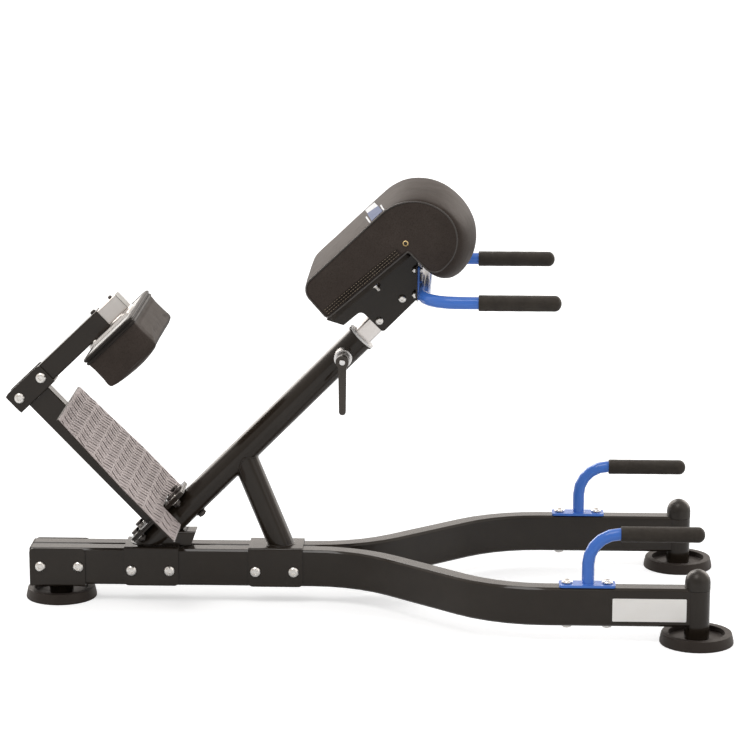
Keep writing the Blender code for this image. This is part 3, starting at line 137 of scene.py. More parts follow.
def shifted(x, y, z):
    return Matrix.Translation((x, y, z))


TUBE = leaning(TUBE_FOOT, TUBE_TILT)
HIP = TUBE @ shifted(TUBE_LENGTH, 0, 0)
POST = leaning(TUBE @ Vector((POST_AT, 0, FLANGE_TOP)), POST_TILT)
LEAN = HIP @ shifted(PAD_LOW[0], 0, PAD_LOW[1]) @ Matrix.Rotation(PAD_TILT, 4, "Y")
FRONT_X = (HIP @ Vector((FRONT_EDGE, 0, 0))).x

# Turns that point a piece's Z axis
DOWN = Matrix.Rotation(math.pi, 4, "X")
NEAR = Matrix.Rotation(math.pi / 2, 4, "X")
FAR = Matrix.Rotation(-math.pi / 2, 4, "X")
FRONT = Matrix.Rotation(math.pi / 2, 4, "Y")
BACK = Matrix.Rotation(-math.pi / 2, 4, "Y")


# Camera, light and floor

def build_camera():
    data = bpy.data.cameras.new("camera")
    data.lens = 136.15
    data.sensor_width = 36
    data.shift_y = 0.0008
    camera = bpy.data.objects.new("camera", data)
    camera.location = (0.1982, -5.0121, 1.5234)
    camera.rotation_euler = (math.radians(90 - 12.236), 0, math.radians(2.170))
    bpy.context.scene.collection.objects.link(camera)
    bpy.context.scene.camera = camera


def sun(name, elevation, azimuth, strength, angle):
    """A broad soft lamp far away; azimuth 0 is from the camera's side and 90 from +X."""
    data = bpy.data.lights.new(name, "SUN")
    data.energy = strength
    data.angle = math.radians(angle)
    lamp = bpy.data.objects.new(name, data)
    lamp.rotation_euler = (math.radians(90 - elevation), 0, math.radians(azimuth))
    bpy.context.scene.collection.objects.link(lamp)


class Nodes:
    """One node tree. A value is a number, a colour or the socket that drives it."""

    def __init__(self, tree):
        self.tree = tree

    def node(self, kind, values=(), **settings):
        made = self.tree.nodes.new(kind)
        for key, value in settings.items():
            setattr(made, key, value)
        for key, value in dict(values).items():
            if isinstance(value, bpy.types.NodeSocket):
                self.tree.links.new(value, made.inputs[key])
            else:
                made.inputs[key].default_value = value
        return made

    def spread(self, value, low, high, start=0.3, end=0.7):
        """The value's stretch from start to end, laid out from low to high."""
        values = {"Value": value, "From Min": start, "From Max": end, "To Min": low, "To Max": high}
        return self.node("ShaderNodeMapRange", values).outputs["Result"]

    def maths(self, operation, *values):
        return self.node("ShaderNodeMath", dict(enumerate(values)), operation=operation).outputs[0]

    def glow(self, kind, colour, strength):
        return self.node(kind, {"Color": (*colour, 1), "Strength": strength}).outputs[0]

    def either(self, factor, first, second):
        """The first shader where the factor is 0, the second where it is 1."""
        return self.node("ShaderNodeMixShader", {0: factor, 1: first, 2: second}).outputs[0]


def build_world():
    """A pale studio, bright behind the bench and dim behind the camera, white where it is seen itself.

    Two brighter panels, low behind the bench on its left and right, show only in glossy faces.
    """
    world = bpy.data.worlds.new("studio")
    world.use_nodes = True
    bpy.context.scene.world = world
    world.node_tree.nodes.clear()
    sky = Nodes(world.node_tree)
    path = sky.node("ShaderNodeLightPath").outputs
    where = sky.node("ShaderNodeTexCoord").outputs["Generated"]
    way = sky.node("ShaderNodeSeparateXYZ", {0: where}).outputs
    level = sky.spread(way["Y"], 0.45, 1.15, -1, 0.6)
    beside = sky.spread(sky.maths("ABSOLUTE", way["X"]), 0, 1, 0.22, 0.45)
    above = sky.spread(way["Z"], 0, 1, 0, 0.20)
    behind = sky.spread(way["Y"], 0, 1, 0.35, 0.70)
    panels = sky.maths("MULTIPLY", sky.maths("MULTIPLY", beside, above), behind)
    gain = sky.maths("MULTIPLY_ADD", panels, 3.2, 1.0)
    soft = sky.glow("ShaderNodeBackground", (1, 0.98, 0.965), sky.maths("MULTIPLY", level, 0.60))
    shine = sky.glow("ShaderNodeBackground", (1, 0.94, 0.885), sky.maths("MULTIPLY", gain, level))
    white = sky.glow("ShaderNodeBackground", (1, 1, 1), 1)
    glossy = sky.maths("MAXIMUM", path["Is Glossy Ray"], path["Is Transmission Ray"])
    surface = sky.either(path["Is Camera Ray"], sky.either(glossy, soft, shine), white)
    sky.node("ShaderNodeOutputWorld", {"Surface": surface})


def build_floor():
    """A plain white floor that keeps a soft shadow and looks as white as the background."""
    mesh = bpy.data.meshes.new("floor")
    reach = 40
    corners = [(-reach, -reach, 0), (reach, -reach, 0), (reach, reach, 0), (-reach, reach, 0)]
    mesh.from_pydata(corners, [], [(0, 1, 2, 3)])
    floor = bpy.data.objects.new("floor", mesh)
    bpy.context.scene.collection.objects.link(floor)
    material = bpy.data.materials.new("floor_white")
    material.use_nodes = True
    ground = Nodes(material.node_tree)
    shader = ground.tree.nodes["Principled BSDF"]
    shader.inputs["Base Color"].default_value = (0.86, 0.86, 0.86, 1)
    shader.inputs["Roughness"].default_value = 0.9
    shader.inputs["Specular IOR Level"].default_value = 0.0
    glow = ground.glow("ShaderNodeEmission", (1, 1, 1), 0.52)
    lit = ground.node("ShaderNodeAddShader", {0: shader.outputs[0], 1: glow}).outputs[0]
    seen = ground.node("ShaderNodeLightPath").outputs["Is Camera Ray"]
    out = ground.tree.nodes["Material Output"]
    ground.tree.links.new(ground.either(seen, shader.outputs[0], lit), out.inputs["Surface"])
    mesh.materials.append(material)


def build_studio():
    build_camera()
    build_world()
    build_floor()
    sun("key_light", 62, -28, 0.85, 28)
    sun("fill_light", 35, 55, 0.35, 60)
    sun("back_light", 42, -150, 0.9, 24)
    bpy.context.scene.view_settings.view_transform = "Standard"


# Materials

class Finish(Nodes):
    """A node material with object coordinates in metres."""

    def __init__(self, name, roughness, metallic=0.0, level=0.5):
        self.material = bpy.data.materials.new(name)
        self.material.use_nodes = True
        super().__init__(self.material.node_tree)
        self.shader = self.tree.nodes["Principled BSDF"]
        self.shader.inputs["Roughness"].default_value = roughness
        self.shader.inputs["Metallic"].default_value = metallic
        self.shader.inputs["Specular IOR Level"].default_value = level
        if not metallic:
            self.shader.inputs["Specular Tint"].default_value = (1, 0.93, 0.86, 1)
        self.where = self.node("ShaderNodeTexCoord").outputs["Object"]
        self.relief = None

    def turned(self, angle, scale=(1, 1, 1)):
        """Coordinates turned about Y, then stretched."""
        values = {"Vector": self.where, "Rotation": (0, angle, 0)}
        turn = self.node("ShaderNodeMapping", values)
        values = {"Vector": turn.outputs[0], "Scale": scale}
        return self.node("ShaderNodeMapping", values).outputs[0]

    def noise(self, scale, detail=3.0, rough=0.5, where=None, distortion=0.0):
        values = {"Vector": where or self.where, "Scale": scale, "Detail": detail, "Roughness": rough,
                  "Distortion": distortion}
        return self.node("ShaderNodeTexNoise", values).outputs["Fac"]

    def cells(self, scale, feature="F1"):
        values = {"Vector": self.where, "Scale": scale}
        return self.node("ShaderNodeTexVoronoi", values, feature=feature).outputs["Distance"]

    def shades(self, value, *stops):
        """Colours along the value, each stop a place and a colour."""
        ramp = self.node("ShaderNodeValToRGB", {"Fac": value})
        bar = ramp.color_ramp.elements
        while len(bar) < len(stops):
            bar.new(0.5)
        for element, (place, colour) in zip(bar, stops):
            element.position = place
            element.color = (*colour, 1)
        return ramp.outputs["Color"]

    def between(self, factor, first, second):
        made = self.node("ShaderNodeMix", data_type="RGBA")
        for socket, value in zip((made.inputs[0], made.inputs[6], made.inputs[7]), (factor, first, second)):
            if isinstance(value, bpy.types.NodeSocket):
                self.tree.links.new(value, socket)
            else:
                socket.default_value = (*value, 1) if isinstance(value, tuple) else value
        return made.outputs[2]

    def colour(self, socket):
        self.tree.links.new(socket, self.shader.inputs["Base Color"])

    def gloss(self, socket):
        self.tree.links.new(socket, self.shader.inputs["Roughness"])

    def raised(self, height, strength, distance):
        """Relief on top of the relief that is already there."""
        values = {"Height": height, "Strength": strength, "Distance": distance}
        if self.relief:
            values["Normal"] = self.relief
        self.relief = self.node("ShaderNodeBump", values).outputs["Normal"]
        self.tree.links.new(self.relief, self.shader.inputs["Normal"])


def mixed(colour, other, share):
    return tuple(a + (b - a) * share for a, b in zip(colour, other))


def coat(name, colour, light, rough, level, cloud_scale=7.0):
    """Powder coat: slightly mottled, with a fine orange-peel skin under a clear gloss."""
    f = Finish(name, rough, level=level)
    f.shader.inputs["Coat Weight"].default_value = 1.0
    f.shader.inputs["Coat Roughness"].default_value = 0.10
    f.shader.inputs["Coat IOR"].default_value = 1.38
    cloud = f.noise(cloud_scale, 4, 0.6)
    f.colour(f.shades(cloud, (0.30, colour), (0.55, mixed(colour, light, 0.45)), (0.78, light)))
    f.gloss(f.spread(f.noise(38, 3), rough - 0.05, rough + 0.06))
    f.raised(f.noise(520, 2, 0.4), 0.10, 0.0003)
    f.raised(f.noise(90, 2, 0.5), 0.05, 0.0006)
    return f.material


def metal(name, colour, light, rough, angle=0.0, streak=(1, 1, 1), grain=900.0, relief=0.05):
    """Bright metal with fine drawn streaks along its length."""
    f = Finish(name, rough, 1.0)
    lines = f.noise(grain, 3, 0.6, f.turned(angle, streak))
    cloud = f.noise(24, 4, 0.6)
    f.colour(f.between(f.spread(cloud, 0.0, 0.55), f.shades(lines, (0.32, colour), (0.68, light)), light))
    f.gloss(f.spread(lines, rough - 0.06, rough + 0.09))
    f.raised(lines, relief, 0.0002)
    return f.material


def rubber(name, colour, light, rough):
    f = Finish(name, rough, level=0.35)
    f.colour(f.shades(f.noise(30, 4, 0.65), (0.3, colour), (0.75, light)))
    f.gloss(f.spread(f.noise(60, 3), rough - 0.05, rough + 0.07))
    f.raised(f.noise(700, 3, 0.6), 0.25, 0.0003)
    return f.material


def foam(name, colour, light):
    """Closed-cell foam sleeve: matt, with fine open pores."""
    f = Finish(name, 0.62, level=0.35)
    pores = f.cells(1300)
    tone = f.shades(f.noise(45, 4, 0.7), (0.3, colour), (0.72, light))
    f.colour(f.between(f.spread(pores, 0.35, 0.0, 0.05, 0.35), tone, mixed(colour, (0, 0, 0), 0.5)))
    f.gloss(f.spread(f.noise(140, 3), 0.54, 0.70))
    f.raised(pores, 0.35, 0.0003)
    f.raised(f.noise(18, 2), 0.06, 0.001)
    return f.material


def vinyl(name, colour, light, rough=0.47, grain=620.0, level=0.05):
    """Upholstery vinyl: pebbled leather grain, soft sheen and faint handling marks."""
    f = Finish(name, rough, level=level)
    pebble = f.cells(grain, "SMOOTH_F1")
    crease = f.noise(grain * 0.45, 4, 0.6, distortion=0.8)
    cloud = f.noise(11, 5, 0.6)
    tone = f.shades(cloud, (0.28, colour), (0.52, mixed(colour, light, 0.5)), (0.75, light))
    f.colour(f.between(f.spread(pebble, 0.0, 0.45, 0.25, 0.75), tone, mixed(colour, (0, 0, 0), 0.45)))
    f.gloss(f.spread(f.noise(55, 2), rough - 0.01, rough + 0.03))
    f.raised(pebble, 0.18, 0.0003)
    f.raised(crease, 0.06, 0.0003)
    return f.material


def plastic(name, colour, light, rough, level=0.45):
    f = Finish(name, rough, level=level)
    f.colour(f.shades(f.noise(26, 3), (0.3, colour), (0.75, light)))
    f.gloss(f.spread(f.noise(70, 3), rough - 0.05, rough + 0.06))
    f.raised(f.noise(800, 2, 0.5), 0.12, 0.0002)
    return f.material


def plywood(name):
    """Ply stained black, its long grain just showing."""
    f = Finish(name, 0.6, level=0.3)
    grain = f.noise(60, 6, 0.65, f.turned(TUBE_TILT, (1, 9, 1)), 1.2)
    f.colour(f.shades(grain, (0.25, (0.020, 0.016, 0.013)), (0.5, (0.034, 0.028, 0.023)),
                      (0.8, (0.052, 0.043, 0.035))))
    f.raised(grain, 0.2, 0.0003)
    return f.material


def tread_rubber(name):
    """Grey rubber sheet, a little mottled and dusty."""
    f = Finish(name, 0.6, level=0.4)
    tone = f.shades(f.noise(60, 5, 0.7), (0.3, (0.47, 0.412, 0.401)), (0.7, (0.575, 0.505, 0.494)))
    f.colour(tone)
    f.raised(f.noise(500, 3, 0.6), 0.3, 0.0003)
    return f.material


MATERIALS = {}


def build_materials():
    warm = (0.0165, 0.0118, 0.0078)
    m = MATERIALS
    m["black_coat"] = coat("black_powder_coat", warm, (0.0275, 0.0205, 0.0145), 0.40, 0.06)
    m["blue_coat"] = coat("blue_powder_coat", (0.050, 0.175, 0.62), (0.068, 0.215, 0.71), 0.40, 0.15, 16.0)
    drawn = (TUBE_TILT, (0.04, 1, 1))
    m["bright_tube"] = metal("drawn_bright_steel", (0.80, 0.765, 0.735), (0.90, 0.865, 0.835), 0.34, *drawn)
    # Painted shade: the ankle tube is the same drawn steel as the hip tube, coloured darker as painted shade;
    # it is also a little rougher
    m["shaded_tube"] = metal("drawn_steel_dull", (0.63, 0.60, 0.575), (0.73, 0.70, 0.675), 0.38, *drawn)
    m["zinc"] = metal("bright_zinc", (0.74, 0.71, 0.67), (0.90, 0.885, 0.855), 0.24, grain=500, relief=0.12)
    m["dark_zinc"] = metal("blackened_steel", (0.055, 0.050, 0.046), (0.11, 0.10, 0.095), 0.38, grain=500,
                           relief=0.1)
    m["chrome"] = metal("polished_chrome", (0.70, 0.69, 0.68), (0.86, 0.86, 0.86), 0.12, grain=300,
                        relief=0.02)
    m["rubber"] = rubber("foot_rubber", (0.017, 0.0125, 0.0105), (0.030, 0.0235, 0.020), 0.5)
    m["grip_foam"] = foam("grip_foam", (0.020, 0.0165, 0.0135), (0.034, 0.0285, 0.023))
    m["vinyl"] = vinyl("charcoal_vinyl", (0.0470, 0.0372, 0.0318), (0.0720, 0.0580, 0.0503))
    m["piping"] = vinyl("piping_vinyl", (0.011, 0.009, 0.0078), (0.018, 0.015, 0.013), 0.42, 900.0, 0.28)
    # Painted shade: the seam folds are the pad's vinyl, coloured near black as the shade in the creases
    # beside each seam
    m["fold"] = vinyl("seam_fold", (0.006, 0.0048, 0.0040), (0.010, 0.008, 0.0065), 0.6, 1200.0, 0.2)
    m["thread"] = plastic("stitching_thread", (0.21, 0.165, 0.12), (0.30, 0.245, 0.185), 0.6)
    m["black_plastic"] = plastic("black_plastic", (0.013, 0.0115, 0.0100), (0.024, 0.021, 0.018), 0.38)
    m["gloss_plastic"] = plastic("glossy_black_plastic", (0.017, 0.013, 0.010), (0.030, 0.023, 0.018), 0.16,
                                 0.7)
    m["grey_plastic"] = plastic("grey_plastic", (0.40, 0.39, 0.365), (0.48, 0.47, 0.44), 0.42)
    m["white_plastic"] = plastic("white_nylon", (0.84, 0.83, 0.81), (0.90, 0.89, 0.87), 0.42)
    m["backing"] = plastic("backing_sheet_white", (0.66, 0.65, 0.63), (0.78, 0.77, 0.75), 0.5)
    m["plywood"] = plywood("stained_plywood")
    m["tread"] = tread_rubber("tread_sheet_grey")
    # Painted shade: the tread's raised bars are the sheet's rubber, coloured darker in three strengths in
    # place of the shade along each bar
    m["tread_bar_shade_dark"] = rubber("tread_relief_dark", (0.09, 0.075, 0.070), (0.15, 0.125, 0.117), 0.6)
    m["tread_fine"] = rubber("tread_relief_fine", (0.44, 0.384, 0.374), (0.54, 0.474, 0.463), 0.6)
    m["tread_bar_shade_mid"] = rubber("tread_relief_mid", (0.19, 0.160, 0.152), (0.27, 0.230, 0.220), 0.6)
    m["satin_chrome"] = metal("satin_chrome", (0.74, 0.72, 0.70), (0.90, 0.89, 0.88), 0.24, grain=260,
                              relief=0.25)
    m["welt"] = vinyl("seam_welt", (0.048, 0.043, 0.040), (0.070, 0.064, 0.060), 0.30, 1200.0, 0.6)
    m["brass"] = metal("eyelet_brass", (0.62, 0.42, 0.16), (0.80, 0.62, 0.32), 0.25, grain=400, relief=0.05)
    m["label"] = plastic("blank_plate", (0.955, 0.935, 0.90), (0.985, 0.97, 0.94), 0.45)
    m["tag_blue"] = vinyl("plain_blue_tag", (0.05, 0.085, 0.20), (0.07, 0.11, 0.25), 0.5, 900.0, 0.2)
    m["tag_white"] = plastic("tag_border_white", (0.62, 0.64, 0.66), (0.74, 0.75, 0.77), 0.5)


# The finish of each CAD node
FINISHES = {
    "black_coat": """rail_right rail_left rear_bracket main_saddle main_tube strut foot_wedge tube_plate
        foot_post foot_plate ankle_bracket ankle_arm hip_gusset_right hip_gusset_left""",
    "blue_coat": "base_handle_right base_handle_left hip_handle",
    "bright_tube": "hip_tube ankle_plate",
    # the ankle tube's darker steel is painted shade
    "shaded_tube": "ankle_tube",
    "zinc": """rear_bolt_back rear_bolt_front saddle_bolt_back saddle_bolt_front strut_bolt_back
        strut_bolt_front base_bolt_right_back base_bolt_right_front base_bolt_left_back base_bolt_left_front
        post_cross_bolt arm_bolt_back arm_bolt_front gusset_bolt_back gusset_bolt_front""",
    "dark_zinc": "ankle_stop_screw",
    "chrome": "lock_screw",
    "satin_chrome": "lock_boss",
    "rubber": "foot_rear foot_right foot_left",
    "grip_foam": "base_grip_right base_grip_left hip_grip_right hip_grip_left",
    "vinyl": "hip_pad ankle_pad",
    "black_plastic": "rail_plug_right rail_plug_left arm_plug post_cap_right post_cap_left arm_set_screw",
    "gloss_plastic": "lock_lever",
    "grey_plastic": "ankle_tube_cap",
    "white_plastic": "guide_bushing hip_tube_guide",
    "backing": "ankle_board",
    "plywood": "hip_board",
    "tread": "foot_tread",
}


def dress_cad():
    """Give every CAD node its finish."""
    for finish, names in FINISHES.items():
        for name in names.split():
            for slot in frame["nodes"][name].material_slots:
                slot.link = "OBJECT"
                slot.material = MATERIALS[finish]


# Mesh helpers

# Points closer together than this are one
SAME_POINT = 0.000004


def mesh_from(rings, closed=False):
    """Mesh through rings of the same number of points; closed joins the last ring to the first."""
    mesh = bpy.data.meshes.new("loft")
    count = len(rings[0])
    points = [tuple(p) for ring in rings for p in ring]
    faces = []
    last = len(rings) if closed else len(rings) - 1
    for i in range(last):
        j = (i + 1) % len(rings)
        for k in range(count):
            n = (k + 1) % count
            faces.append((i * count + k, i * count + n, j * count + n, j * count + k))
    if not closed:
        faces.append(tuple(reversed(range(count))))
        faces.append(tuple(range((len(rings) - 1) * count, len(rings) * count)))
    mesh.from_pydata(points, [], faces)
    tidy(mesh)
    return mesh


def tidy(mesh):
    bm = bmesh.new()
    bm.from_mesh(mesh)
    bmesh.ops.remove_doubles(bm, verts=bm.verts, dist=SAME_POINT)
    bmesh.ops.recalc_face_normals(bm, faces=bm.faces)
    bm.to_mesh(mesh)
    bm.free()


def joined(*meshes):
    """One mesh of several, each kept as it is."""
    bm = bmesh.new()
    for mesh in meshes:
        bm.from_mesh(mesh)
    whole = bpy.data.meshes.new("joined")
    bm.to_mesh(whole)
    bm.free()
    return whole


def moved(mesh, place):
    copy = mesh.copy()
    copy.transform(place)
    return copy


def piece(name, mesh, finish, body, place=None, angle=40):
    """A new piece that rides on a body."""
    if place is not None:
        mesh.transform(place)
    mesh.name = name
    mesh.materials.clear()
    mesh.materials.append(MATERIALS[finish])
    mesh.shade_smooth()
    mesh.set_sharp_from_angle(angle=math.radians(angle))
    made = bpy.data.objects.new(name, mesh)
    bpy.context.scene.collection.objects.link(made)
    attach(made, body)
    return made


def circle_ring(radius, height, sides=24):
    return [(radius * math.cos(math.tau * k / sides), radius * math.sin(math.tau * k / sides), height)
            for k in range(sides)]


def hex_ring(radius, height, turn=0.0):
    """A hexagon with the given corner radius, sampled with the same count as a circle."""
    sides = 24
    ring = []
    for k in range(sides):
        a = math.tau * k / sides
        b = (a - turn) % (math.pi / 3) - math.pi / 6
        reach = radius * math.cos(math.pi / 6) / math.cos(b)
        ring.append((reach * math.cos(a), reach * math.sin(a), height))
    return ring


def turned(profile, sides=32):
    """Solid of revolution about Z through (radius, height) points from bottom to top."""
    return mesh_from([circle_ring(max(r, 0.00002), z, sides) for r, z in profile])


def rounded(corners, steps):
    """Outline with each (a, b, radius) corner rounded."""
    points = []
    count = len(corners)
    for i, (a, b, radius) in enumerate(corners):
        here = Vector((a, b))
        before = Vector(corners[i - 1][:2]) - here
        after = Vector(corners[(i + 1) % count][:2]) - here
        half = before.angle(after) / 2
        reach = radius / math.tan(half)
        start = here + before.normalized() * reach
        end = here + after.normalized() * reach
        centre = here + (before.normalized() + after.normalized()).normalized() * (radius / math.sin(half))
        first = start - centre
        last = end - centre
        turn = first.angle_signed(last)
        for k in range(steps + 1):
            arm = first.copy()
            arm.rotate(Matrix.Rotation(-turn * k / steps, 2))
            points.append((centre.x + arm.x, centre.y + arm.y))
    return points


def spaced(points, step, closed=True):
    """The same line with points at even steps along it."""
    line = [Vector(p) for p in points]
    if closed:
        line.append(line[0])
    lengths = [(b - a).length for a, b in zip(line, line[1:])]
    total = sum(lengths)
    count = max(8, round(total / step))
    result = []
    targets = [total * k / count for k in range(count if closed else count + 1)]
    at, index = 0.0, 0
    for target in targets:
        while index < len(lengths) - 1 and at + lengths[index] < target - 1e-9:
            at += lengths[index]
            index += 1
        share = (target - at) / lengths[index] if lengths[index] else 0
        result.append(line[index].lerp(line[index + 1], min(share, 1)))
    return result


def strand(points, radius, sides, closed=False, ripple=0.0, taper=0):
    """A round strand along points; ripple swells it in small beads and taper narrows its ends."""
    line = [Vector(p) for p in points]
    count = len(line)
    rings = []
    axis = None
    for i, here in enumerate(line):
        before = line[i - 1] if closed or i else here
        after = line[(i + 1) % count] if closed or i < count - 1 else here
        way = (after - before).normalized()
        if axis is None:
            axis = way.orthogonal().normalized()
        axis = (axis - axis.dot(way) * way).normalized()
        other = way.cross(axis)
        size = radius * (1 + ripple * math.sin(i * math.pi * 0.8))
        if taper:
            size *= min(1.0, 0.35 + 0.65 * min(i, count - 1 - i) / taper)
        rings.append([here + size * (math.cos(math.tau * k / sides) * axis
                                     + math.sin(math.tau * k / sides) * other) for k in range(sides)])
    if closed:
        shift = min(range(sides), key=lambda k: (rings[-1][k] - rings[0][0]).length)
        turn = shift if shift <= sides // 2 else shift - sides
        for i, ring in enumerate(rings):
            k = round(turn * i / (count - 1))
            rings[i] = ring[k:] + ring[:k]
    return mesh_from(rings, closed)


def stitches(points):
    """A run of sewn stitches along a line."""
    step, span, gap = 0.0007, 6, 2
    line = spaced(points, step, False)
    made = []
    for start in range(0, len(line) - span, span + gap):
        ends = [line[start + share * span // 2] for share in (0, 1, 2)]
        made.append(strand(ends, 0.0006, 6, taper=1))
    return joined(*made)


# Eased edges

# How far the edges of each finish are rounded over
EASED = {"black_coat": 0.0007, "blue_coat": 0.0007, "bright_tube": 0.0005, "shaded_tube": 0.0005,
         "satin_chrome": 0.0005, "rubber": 0.0012, "black_plastic": 0.0006, "white_plastic": 0.0005,
         "gloss_plastic": 0.0007, "grey_plastic": 0.0003, "chrome": 0.0003}


def eased(mesh, width):
    """The same solid with its sharp edges rounded over and its round faces smooth."""
    bm = bmesh.new()
    points = [bm.verts.new(v.co) for v in mesh.vertices]
    for face in mesh.polygons:
        bm.faces.new([points[i] for i in face.vertices])
    bmesh.ops.remove_doubles(bm, verts=bm.verts, dist=SAME_POINT)
    bmesh.ops.recalc_face_normals(bm, faces=bm.faces)
    bmesh.ops.dissolve_limit(bm, angle_limit=math.radians(0.4), verts=bm.verts, edges=bm.edges)
    sharp = [e for e in bm.edges if len(e.link_faces) == 2 and e.calc_face_angle() > math.radians(38)]
    bmesh.ops.bevel(bm, geom=sharp, offset=width, segments=2, profile=0.6, affect="EDGES",
                    clamp_overlap=False, harden_normals=False)
    bmesh.ops.triangulate(bm, faces=[f for f in bm.faces if len(f.verts) > 4])
    result = bpy.data.meshes.new("eased")
    bm.to_mesh(result)
    bm.free()
    return result


def ease_cad():
    """Round the edges of the hard pieces that keep the CAD's shape."""
    for finish, width in EASED.items():
        for name in FINISHES[finish].split():
            node = frame["nodes"][name]
            body = node.parent.name.split(":")[1]
            made = piece(name + "_eased", eased(node.data, width), finish, body, angle=42)
            change = made.modifiers.new("flat_faces", "WEIGHTED_NORMAL")
            change.keep_sharp = True
            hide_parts(name)


# Fasteners and grips

def socket_bolt(radius, height, shank, grip, socket):
    """Low domed head with a hexagon socket, and its shank, head up from Z = 0."""
    dome = [(radius * 0.97, 0.0), (radius, height * 0.18), (radius * 0.96, height * 0.42),
            (radius * 0.84, height * 0.72), (radius * 0.66, height * 0.92), (socket * 1.35, height)]
    rings = [circle_ring(0.00002, -grip), circle_ring(shank, -grip), circle_ring(shank, 0)]
    rings += [circle_ring(r, z) for r, z in dome]
    rings += [hex_ring(socket * 1.08, height), hex_ring(socket, height - 0.0004),
              hex_ring(socket, height * 0.3), circle_ring(0.00002, height * 0.22)]
    return mesh_from(rings)


def washer(outer, inner, thick):
    edge = thick * 0.3
    profile = [(inner, 0), (outer - edge, 0), (outer, edge), (outer, thick - edge), (outer - edge, thick),
               (inner, thick)]
    return mesh_from([circle_ring(r, z, 32) for r, z in profile], closed=True)


def hex_nut(corner, height, bore, turn=0.0):
    """Nut with chamfered corners and a threaded bore mouth, bottom on Z = 0."""
    flat = corner * 0.9
    rings = [circle_ring(bore, 0), circle_ring(flat * 0.9, 0), hex_ring(corner * 0.93, height * 0.02, turn),
             hex_ring(corner, height * 0.14, turn), hex_ring(corner, height * 0.86, turn),
             hex_ring(corner * 0.92, height, turn), circle_ring(flat * 0.86, height),
             circle_ring(bore * 1.15, height), circle_ring(bore, height * 0.9)]
    return mesh_from(rings, closed=True)


def thread(radius, length):
    """End of a screw: rings of thread and a chamfered tip."""
    pitch = 0.0012
    profile = [(0, 0)]
    turns = max(2, int(length / pitch) - 1)
    for k in range(turns):
        z = k * length * 0.9 / turns
        profile += [(radius * 0.86, z), (radius, z + pitch * 0.35), (radius, z + pitch * 0.5)]
    profile += [(radius * 0.86, length * 0.92), (radius * 0.70, length), (0, length)]
    return turned(profile, 16)


def through_bolt(grip, radius, height, shank, nut, nut_height):
    """Domed socket bolt, its shank through the grip, and a washer, nut and thread end behind it."""
    rim, tail = 0.0008, 0.0020
    behind = shifted(0, 0, -grip) @ DOWN
    parts = [socket_bolt(radius, height, shank, grip, radius * 0.44),
             moved(washer(nut * 1.08, shank, rim), behind),
             moved(hex_nut(nut, nut_height - rim, shank, 0.3), behind @ shifted(0, 0, rim)),
             moved(thread(shank * 0.98, tail), behind @ shifted(0, 0, nut_height - 0.0005))]
    return joined(*parts)


def build_bolts():
    """Detailed through-bolts in place of the CAD's plain ones."""
    rows = [(name, *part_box(name)) for name in FINISHES["zinc"].split()]
    for name, low, high in rows:
        carriage = name.startswith("gusset")
        body = "hip_carriage" if carriage else "base_frame"
        head, tall, shank = (0.0075, 0.004, 0.004) if carriage else (0.010, 0.0048, 0.005)
        nut, nut_h = (0.0075, 0.006) if carriage else (0.009, 0.0065)
        ends = tall + nut_h + 0.0015
        middle = (low + high) / 2
        if name == "post_cross_bolt":
            place = TUBE @ shifted(CROSS_BOLT_AT, 0, FLANGE_TOP)
            grip = FLANGE_TOP + TUBE_R
        elif name.startswith("base_bolt"):
            place = shifted(middle.x, middle.y, high.z - tall)
            grip = high.z - low.z - ends
        else:
            place = shifted(middle.x, low.y + tall, middle.z) @ NEAR
            grip = high.y - low.y - ends
        mesh = through_bolt(grip, head, tall, shank, nut, nut_h)
        finish = "dark_zinc" if name == "post_cross_bolt" else "zinc"
        made = piece(name + "_detail", mesh, finish, body, place)
        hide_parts(name)


def hex_bolt(corner, height):
    """Hexagon head with a washer face, standing up from Z = 0."""
    rings = [circle_ring(0.00002, 0), circle_ring(corner * 0.86, 0), circle_ring(corner * 0.86, height * 0.1),
             hex_ring(corner * 0.97, height * 0.12), hex_ring(corner, height * 0.2),
             hex_ring(corner, height * 0.84), hex_ring(corner * 0.90, height),
             circle_ring(corner * 0.55, height), circle_ring(0.00002, height * 0.96)]
    return mesh_from(rings)


